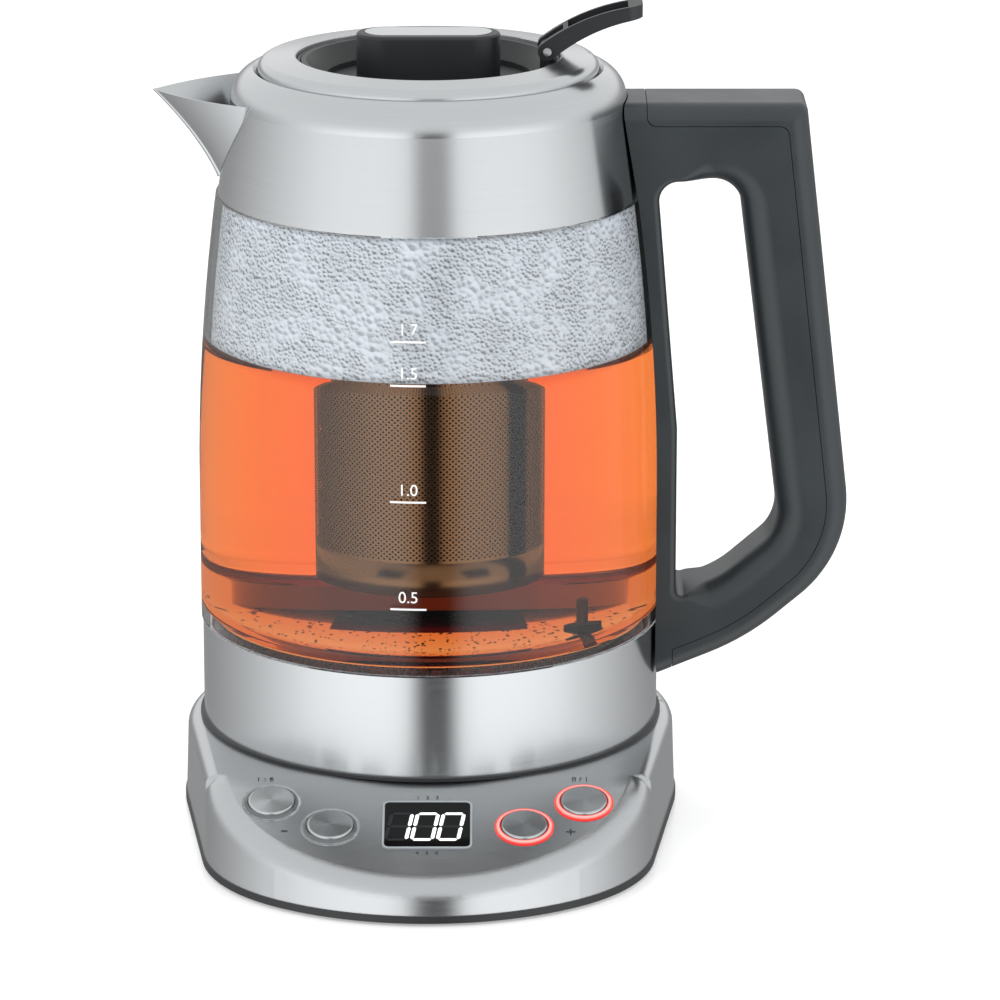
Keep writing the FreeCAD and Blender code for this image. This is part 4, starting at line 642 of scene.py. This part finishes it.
def glass_radius_at(z, inwards=0.0):
    """Radius of the glass at a height, less a depth into its wall."""
    if z <= GLASS_BEND:
        return GLASS_RADIUS - inwards
    return GLASS_RADIUS - GLASS_CURVE + math.sqrt((GLASS_CURVE - inwards) ** 2
                                                  - (z - GLASS_BEND) ** 2)


def clear_to_light(tree, clear, shadow_tint):
    """A clear shader that shadow rays pass straight through, with a tint of their own."""
    straight = add_node(tree, "ShaderNodeBsdfTransparent", {"Color": shadow_tint})
    rays = add_node(tree, "ShaderNodeLightPath")
    return add_node(tree, "ShaderNodeMixShader", {0: rays.outputs["Is Shadow Ray"],
                                                  1: clear.outputs[0],
                                                  2: straight.outputs[0]}).outputs[0]


glass, tree = new_surface("blown_borosilicate_glass")
glossy = add_node(tree, "ShaderNodeBsdfGlass", {"Color": linear(GLASS_TINT), "Roughness": 0.0,
                                                "IOR": GLASS_IOR})
bent = add_node(tree, "ShaderNodeBsdfRefraction", {"Color": linear(GLASS_TINT),
                                                   "Roughness": 0.0, "IOR": GLASS_IOR})
clear = add_node(tree, "ShaderNodeMixShader", {0: UNMIRRORED_SHARE, 1: glossy.outputs[0],
                                               2: bent.outputs[0]})
add_node(tree, "ShaderNodeOutputMaterial",
         {"Surface": clear_to_light(tree, clear, linear("#f4f8f8"))})
clad(glass, "glass_body")
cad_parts["glass_body"].visible_glossy = False
clad(moulded_plastic("moulded_clear_grey_silicone", "#a9a4b2", 0.3, 0.6, 0.05), "lower_seal",
     "neck_seal")

# Glass marks
# White ceramic ink, printed on the outside of the glass and fired: four level lines, each with
# its number of litres.

MARKS_BEARING = -0.080
LEVELS = (("1.7", 0.1670), ("1.5", 0.1537), ("1.0", 0.1178), ("0.5", 0.0840))
LINE_HALF_WIDE = 0.0055
LINE_HALF_TALL = 0.0003
NUMBER_TALL = 0.0037
NUMBER_ABOVE_LINE = 0.0036


def wrap_on_glass(mesh, middle, height):
    """Bend a flat print in X and Y round the glass, with its centre at a bearing and a height."""
    for vert in mesh.verts:
        z = height + vert.co.y
        out = glass_radius_at(z) + INK_UP + vert.co.z
        angle = middle + vert.co.x / GLASS_RADIUS
        vert.co = (out * math.sin(angle), -out * math.cos(angle), z)


fired_ink = printed_ink("white_fired_ink", "#fafafa")
for litres, height in LEVELS:
    mesh = bmesh.new()
    bmesh.ops.create_grid(mesh, x_segments=12, y_segments=1, size=1.0)
    bmesh.ops.scale(mesh, vec=(LINE_HALF_WIDE, LINE_HALF_TALL, 1), verts=mesh.verts)
    wrap_on_glass(mesh, MARKS_BEARING, height)
    label = litres.replace(".", "_")
    piece_from(mesh, f"level_line_{label}", fired_ink, "kettle")
    mesh = lettered(litres, NUMBER_TALL)
    wrap_on_glass(mesh, MARKS_BEARING, height + NUMBER_ABOVE_LINE)
    piece_from(mesh, f"level_number_{label}", fired_ink, "kettle")

# Tea
# Black tea up to the 1.5 litre line. Its colour comes from its depth, so it is paler where the
# light crosses it once and deeper where the light also comes back up from the floor.

TEA_FLOOR = 0.05205
TEA_TOP = 0.1537
GLASS_FOOT = 0.0668
GLASS_WALL = 0.0027
GLASS_ROWS = 24
FLOOR_CUP_RADIUS = 0.0674
SEAL_RADIUS = 0.0692
FOOT_RADIUS = 0.0676


def spun(mesh, outline, steps=96):
    """Turn an outline of radius and height round the Z axis into a closed skin."""
    verts = [mesh.verts.new((r, 0, z)) for r, z in outline]
    edges = [mesh.edges.new(pair) for pair in zip(verts, verts[1:])]
    bmesh.ops.spin(mesh, geom=verts + edges, cent=(0, 0, 0), axis=(0, 0, 1), dvec=(0, 0, 0),
                   angle=math.tau, steps=steps, use_merge=True, use_duplicate=False)
    bmesh.ops.remove_doubles(mesh, verts=mesh.verts, dist=1e-6)
    bmesh.ops.recalc_face_normals(mesh, faces=mesh.faces)


tea_surface, tree = new_surface("brewed_black_tea")
clear = add_node(tree, "ShaderNodeBsdfGlass", {"Color": (1, 1, 1, 1), "Roughness": 0.0,
                                               "IOR": 1.333})
depth = add_node(tree, "ShaderNodeVolumeAbsorption", {"Color": (0.97, 0.50, 0.0, 1),
                                                      "Density": 33.0})
add_node(tree, "ShaderNodeOutputMaterial", {"Surface": clear_to_light(tree, clear, (1, 1, 1, 1)),
                                            "Volume": depth.outputs[0]})
outline = [(0, TEA_FLOOR), (FLOOR_CUP_RADIUS, TEA_FLOOR), (FLOOR_CUP_RADIUS, 0.0600),
           (SEAL_RADIUS, 0.0601), (SEAL_RADIUS, 0.0621), (FOOT_RADIUS, 0.0623),
           (FOOT_RADIUS, 0.0647), (0.0698, GLASS_FOOT)]
for step in range(GLASS_ROWS + 1):
    z = GLASS_FOOT + (TEA_TOP - GLASS_FOOT) * step / GLASS_ROWS
    outline.append((glass_radius_at(z, GLASS_WALL), z))
outline += [(glass_radius_at(TEA_TOP, 0.0036), TEA_TOP - 0.0006),
            (glass_radius_at(TEA_TOP, 0.0060), TEA_TOP - 0.0009), (0, TEA_TOP - 0.0009)]
mesh = bmesh.new()
spun(mesh, outline, 128)
piece_from(mesh, "tea", tea_surface, "kettle", smooth=True).visible_glossy = False

# Tea dust
# Crumbs of wet leaf, small enough to come through the basket's holes. They sink through the tea
# and lie loose on the kettle's floor.

DUST_GRAINS = 1500
DUST_REACH = 0.066
DUST_LEVEL = 0.0521
DUST_SHAPE = (1.4, 0.9, 0.4, 1)

leaf_dust, tree = new_surface("wet_tea_dust")
tone = add_node(tree, "ShaderNodeTexNoise", {"Vector": object_place(tree), "Scale": 600.0})
shade = add_node(tree, "ShaderNodeMapRange", {"Value": tone.outputs[0], "To Min": 0.5,
                                              "To Max": 1.5})
tint = add_node(tree, "ShaderNodeVectorMath", {0: linear("#2a1408")[:3],
                                               "Scale": shade.outputs[0]}, operation="SCALE")
shader = add_node(tree, "ShaderNodeBsdfPrincipled", {"Base Color": tint.outputs[0],
                                                     "Roughness": 0.5})
add_node(tree, "ShaderNodeOutputMaterial", {"Surface": shader.outputs[0]})
chance = random.Random(7)
mesh = bmesh.new()
for grain in range(DUST_GRAINS):
    out = DUST_REACH * math.sqrt(chance.random())
    angle = chance.uniform(0, math.tau)
    radius = chance.uniform(0.00012, 0.00038)
    turn = Matrix.Rotation(chance.uniform(0, math.tau), 4, "Z")
    place = Matrix.Translation((out * math.cos(angle), out * math.sin(angle),
                                DUST_LEVEL + radius * 0.4))
    bmesh.ops.create_icosphere(mesh, subdivisions=1, radius=radius,
                               matrix=place @ turn @ Matrix.Diagonal(DUST_SHAPE))
piece_from(mesh, "tea_dust", leaf_dust, "kettle")

# Condensation
# Steam on the cold glass above the tea: a close film of small drops, with larger ones in
# patches. Each drop's colour holds painted light: a painted highlight on one side and painted
# shade on the other, from the slope of its crown, which is what makes the film look wet.

SMALL_DROP_MM = 1.15
LARGE_DROP_MM = 1.9
# A small step towards a painted light, and the grey levels of the painted highlight and shade that
# each drop gets from it.
TOWARDS_PAINTED_LIGHT = (-0.00012, 0, -0.00022)
PAINTED_DROP_SHADE_LEVELS = [(0.0, 0.3), (0.3, 0.66), (0.5, 0.92), (0.7, 1.0), (1.0, 1.0)]
FILM_FOOT = 0.1538
FILM_TOP = 0.1979
FILM_ROWS = 16
FILM_OUTSIDE = 0.00285
FILM_INSIDE = 0.00295

wet_film, tree = new_surface("condensed_droplet_film")
place = add_node(tree, "ShaderNodeTexCoord").outputs["Object"]
sway = add_node(tree, "ShaderNodeTexNoise", {"Vector": place, "Scale": 90.0, "Detail": 2.0})
patch = add_node(tree, "ShaderNodeMapRange", {"Value": sway.outputs[0], "From Min": 0.5,
                                              "From Max": 0.6})


def droplet_crowns(offset):
    """Height of the drops' crowns: small drops, and larger ones in patches."""
    moved = add_node(tree, "ShaderNodeVectorMath", {0: place, 1: offset},
                     operation="ADD").outputs[0]
    layers = [add_node(tree, "ShaderNodeTexVoronoi", {"Vector": moved, "Scale": 1000 / drop_mm,
                                                      "Smoothness": 0.25},
                       feature="SMOOTH_F1").outputs["Distance"]
              for drop_mm in (SMALL_DROP_MM, LARGE_DROP_MM)]
    return add_node(tree, "ShaderNodeMix", {0: patch.outputs[0], 2: layers[0],
                                            3: layers[1]}).outputs[0]


# The drops' colour is painted light: the crowns' height, less their height one small step towards
# the light, gives each drop a painted highlight on one side and painted shade on the other.
here = droplet_crowns((0, 0, 0))
aside = droplet_crowns(TOWARDS_PAINTED_LIGHT)
slope = add_node(tree, "ShaderNodeMath", {0: here, 1: aside}, operation="SUBTRACT")
painted_drop_light = add_node(tree, "ShaderNodeMapRange", {"Value": slope.outputs[0],
                                                   "From Min": -0.22, "From Max": 0.22})
ramp = add_node(tree, "ShaderNodeValToRGB", {"Fac": painted_drop_light.outputs[0]})
set_stops(ramp, PAINTED_DROP_SHADE_LEVELS)
cloudy = add_node(tree, "ShaderNodeMapRange", {"Value": sway.outputs[0], "From Min": 0.3,
                                               "From Max": 0.7, "To Min": 0.86,
                                               "To Max": 1.0})
tint = add_node(tree, "ShaderNodeVectorMath", {0: ramp.outputs[0], "Scale": cloudy.outputs[0]},
                operation="SCALE")
cool_painted_drop_light = add_node(tree, "ShaderNodeVectorMath", {0: tint.outputs[0], 1: (0.97, 0.97, 1.03)},
                operation="MULTIPLY")
relief = add_node(tree, "ShaderNodeBump", {"Height": here, "Strength": 0.8,
                                           "Distance": 0.0004}, invert=True)
drops = add_node(tree, "ShaderNodeBsdfPrincipled", {
    "Base Color": cool_painted_drop_light.outputs[0], "Roughness": 0.16, "IOR": 1.33,
    "Normal": relief.outputs[0]})
through = add_node(tree, "ShaderNodeBsdfTranslucent", {"Color": cool_painted_drop_light.outputs[0],
                                                       "Normal": relief.outputs[0]})
film = add_node(tree, "ShaderNodeMixShader", {0: 0.45, 1: drops.outputs[0],
                                              2: through.outputs[0]})
add_node(tree, "ShaderNodeOutputMaterial", {"Surface": film.outputs[0]})
rows = [FILM_FOOT + (FILM_TOP - FILM_FOOT) * step / FILM_ROWS for step in range(FILM_ROWS + 1)]
outline = [(glass_radius_at(z, FILM_OUTSIDE), z) for z in rows]
outline += [(glass_radius_at(z, FILM_INSIDE), z) for z in reversed(rows)]
mesh = bmesh.new()
spun(mesh, outline + outline[:1], 128)
condensation = piece_from(mesh, "condensation_film", wet_film, "kettle", smooth=True)
condensation.visible_glossy = False

# Handle
# A frame and a back cover, moulded in slate-grey polypropylene with a fine grain that dulls the
# shine. One screw holds the frame through the collar, and one through the band.

clad(moulded_plastic("moulded_slate_polypropylene", "#2a3033", 0.36, 0.45, 0.02), "handle_frame",
     "handle_spine")
clad(zinc, "handle_screws")

# Lid
# A steel ring with lathe lines over a carrier of black ABS. The silicone gasket lies in a groove
# round the carrier.

clad(turned_steel, "lid_ring")
clad(black_abs, "lid_carrier")
clad(silicone, "lid_gasket")

# Infuser basket
# Thin stainless sheet, punched with rows of staggered holes above a plain foot, rolled into a tube
# and given a cone and a flange. It takes the place of the CAD's basket, whose wall is plain.

BASKET_FOOT = 0.0774
BASKET_TOP = 0.212
FOOT_WIDE = 0.0266
TOP_WIDE = 0.0274
BASKET_WALL = 0.0004
HOLE_PITCH = 0.0016
HOLE_BORDER = 0.24
PUNCHED_FOOT = 0.0883
PUNCHED_TOP = 0.1721
PUNCHED_MIDDLE = 0.13


def basket_radius(z):
    """Outer radius of the tapered tube at a height."""
    return FOOT_WIDE + (z - BASKET_FOOT) * (TOP_WIDE - FOOT_WIDE) / (BASKET_TOP - BASKET_FOOT)


around = round(math.tau * basket_radius(PUNCHED_MIDDLE) / HOLE_PITCH)
pitch = math.tau * basket_radius(PUNCHED_MIDDLE) / around
tall = PUNCHED_TOP - PUNCHED_FOOT
half_width = around * pitch / 2
side = pitch / math.sqrt(2)
reach = math.ceil((half_width + tall / 2) / (pitch / 2)) + 2
mesh = bmesh.new()
bmesh.ops.create_grid(mesh, x_segments=reach, y_segments=reach, size=reach * side / 2)
bmesh.ops.rotate(mesh, verts=mesh.verts, cent=(0, 0, 0),
                 matrix=Matrix.Rotation(math.radians(45), 3, "Z"))
for point, facing in (((half_width, 0, 0), (1, 0, 0)), ((-half_width, 0, 0), (-1, 0, 0)),
                      ((0, tall / 2, 0), (0, 1, 0)), ((0, -tall / 2, 0), (0, -1, 0))):
    bmesh.ops.bisect_plane(mesh, geom=mesh.verts[:] + mesh.edges[:] + mesh.faces[:],
                           plane_co=point, plane_no=facing, clear_outer=True, dist=1e-7)
# Only squares that the trimming left whole get a hole
whole = [face for face in mesh.faces
         if len(face.verts) == 4 and face.calc_area() > 0.98 * side ** 2]
bmesh.ops.inset_individual(mesh, faces=whole, thickness=side * HOLE_BORDER,
                           use_even_offset=True)
bmesh.ops.delete(mesh, geom=whole, context="FACES")
for vert in mesh.verts:
    z = PUNCHED_FOOT + tall / 2 + vert.co.y
    angle = vert.co.x / half_width * math.pi - math.pi / 2
    vert.co = (basket_radius(z) * math.cos(angle), basket_radius(z) * math.sin(angle), z)
bmesh.ops.remove_doubles(mesh, verts=mesh.verts, dist=2e-6)
bmesh.ops.recalc_face_normals(mesh, faces=mesh.faces)
basket_steel = brushed_steel("rolled_basket_steel", "#9d9a94", round_tangent, round_lines, 0.4,
                             roughness=0.2)
punched = piece_from(mesh, "infuser_punched_wall", basket_steel, "infuser", smooth=True)
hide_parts("infuser_basket")

mesh = bmesh.new()
spun(mesh, [(0, BASKET_FOOT), (0.0261, BASKET_FOOT), (FOOT_WIDE, 0.0779),
            (basket_radius(PUNCHED_FOOT), PUNCHED_FOOT),
            (basket_radius(PUNCHED_FOOT) - BASKET_WALL, PUNCHED_FOOT), (0.0262, 0.0784),
            (0.0257, 0.0778), (0, 0.0778)])
piece_from(mesh, "infuser_foot_cup", basket_steel, "infuser", smooth=True)
mesh = bmesh.new()
spun(mesh, [(basket_radius(PUNCHED_TOP), PUNCHED_TOP), (TOP_WIDE, BASKET_TOP), (0.0359, 0.222),
            (0.0359, 0.2282), (0.0386, 0.2282), (0.0386, 0.229), (0.0351, 0.229),
            (0.0351, 0.2223), (0.0268, 0.2124),
            (basket_radius(PUNCHED_TOP) - BASKET_WALL, PUNCHED_TOP),
            (basket_radius(PUNCHED_TOP), PUNCHED_TOP)])
piece_from(mesh, "infuser_cone", basket_steel, "infuser")

# Tea leaves, as painted shade
# Wet tea leaves, swollen together. They fill the basket as a dark lumpy mass, which shows
# through its holes. The mass is also painted shade: it puts a dark body where the inside of the
# basket is only in shade, so that the holes look dark.

LEAF_FOOT = 0.0779
LEAF_ROWS = 26
LEAF_ROW_TALL = 0.0035
LEAF_JITTER = 0.0003

# This dark mass is leaves and painted shade at once: it stands in for the shade inside the basket.
leaf, tree = new_surface("leaf_mass_and_painted_shade")
clumps = add_node(tree, "ShaderNodeTexVoronoi", {"Vector": object_place(tree), "Scale": 420.0})
# Each clump is painted lighter in its middle and darker at its edges: painted shade in the creases
# between clumps.
shade = add_node(tree, "ShaderNodeMapRange", {"Value": clumps.outputs["Distance"],
                                              "To Min": 1.5, "To Max": 0.3})
tint = add_node(tree, "ShaderNodeVectorMath", {0: linear("#24130d")[:3],
                                               "Scale": shade.outputs[0]}, operation="SCALE")
relief = add_node(tree, "ShaderNodeBump", {"Height": clumps.outputs["Distance"],
                                           "Strength": 0.8, "Distance": 0.001}, invert=True)
shader = add_node(tree, "ShaderNodeBsdfPrincipled", {"Base Color": tint.outputs[0],
                                                     "Roughness": 0.45,
                                                     "Normal": relief.outputs[0]})
add_node(tree, "ShaderNodeOutputMaterial", {"Surface": shader.outputs[0]})
mesh = bmesh.new()
spun(mesh, [(0, LEAF_FOOT), (0.0248, LEAF_FOOT)]
     + [(0.0255 - 0.0004 * math.cos(step * 2.4), 0.079 + LEAF_ROW_TALL * step)
        for step in range(LEAF_ROWS)]
     + [(0.022, 0.1685), (0.012, 0.1702), (0, 0.1695)])
for vert in mesh.verts:
    vert.co += Vector((chance.uniform(-1, 1), chance.uniform(-1, 1), 0)) * LEAF_JITTER
piece_from(mesh, "leaf_mass_painted_shade", leaf, "infuser", smooth=True)

# Infuser collar and lever
# The black collar sits on the basket's flange. The lever turns on a polished steel pin, which
# goes through the bracket that stands in the collar.

clad(black_abs, "infuser_collar", "lever_bracket", "infuser_lever")
clad(plain_metal("polished_pin_steel", "#dcdfe1", 0.12, 0.6), "lever_pin")

# Inner lid
# A plate and an oblong grip, moulded in black ABS. A strip of satin steel is let into the top of
# the grip.

clad(black_abs, "inner_lid", "inner_lid_grip")
clad(plain_metal("satin_inlay_steel", "#d9dcde", 0.32, 0.4), "grip_inlay")
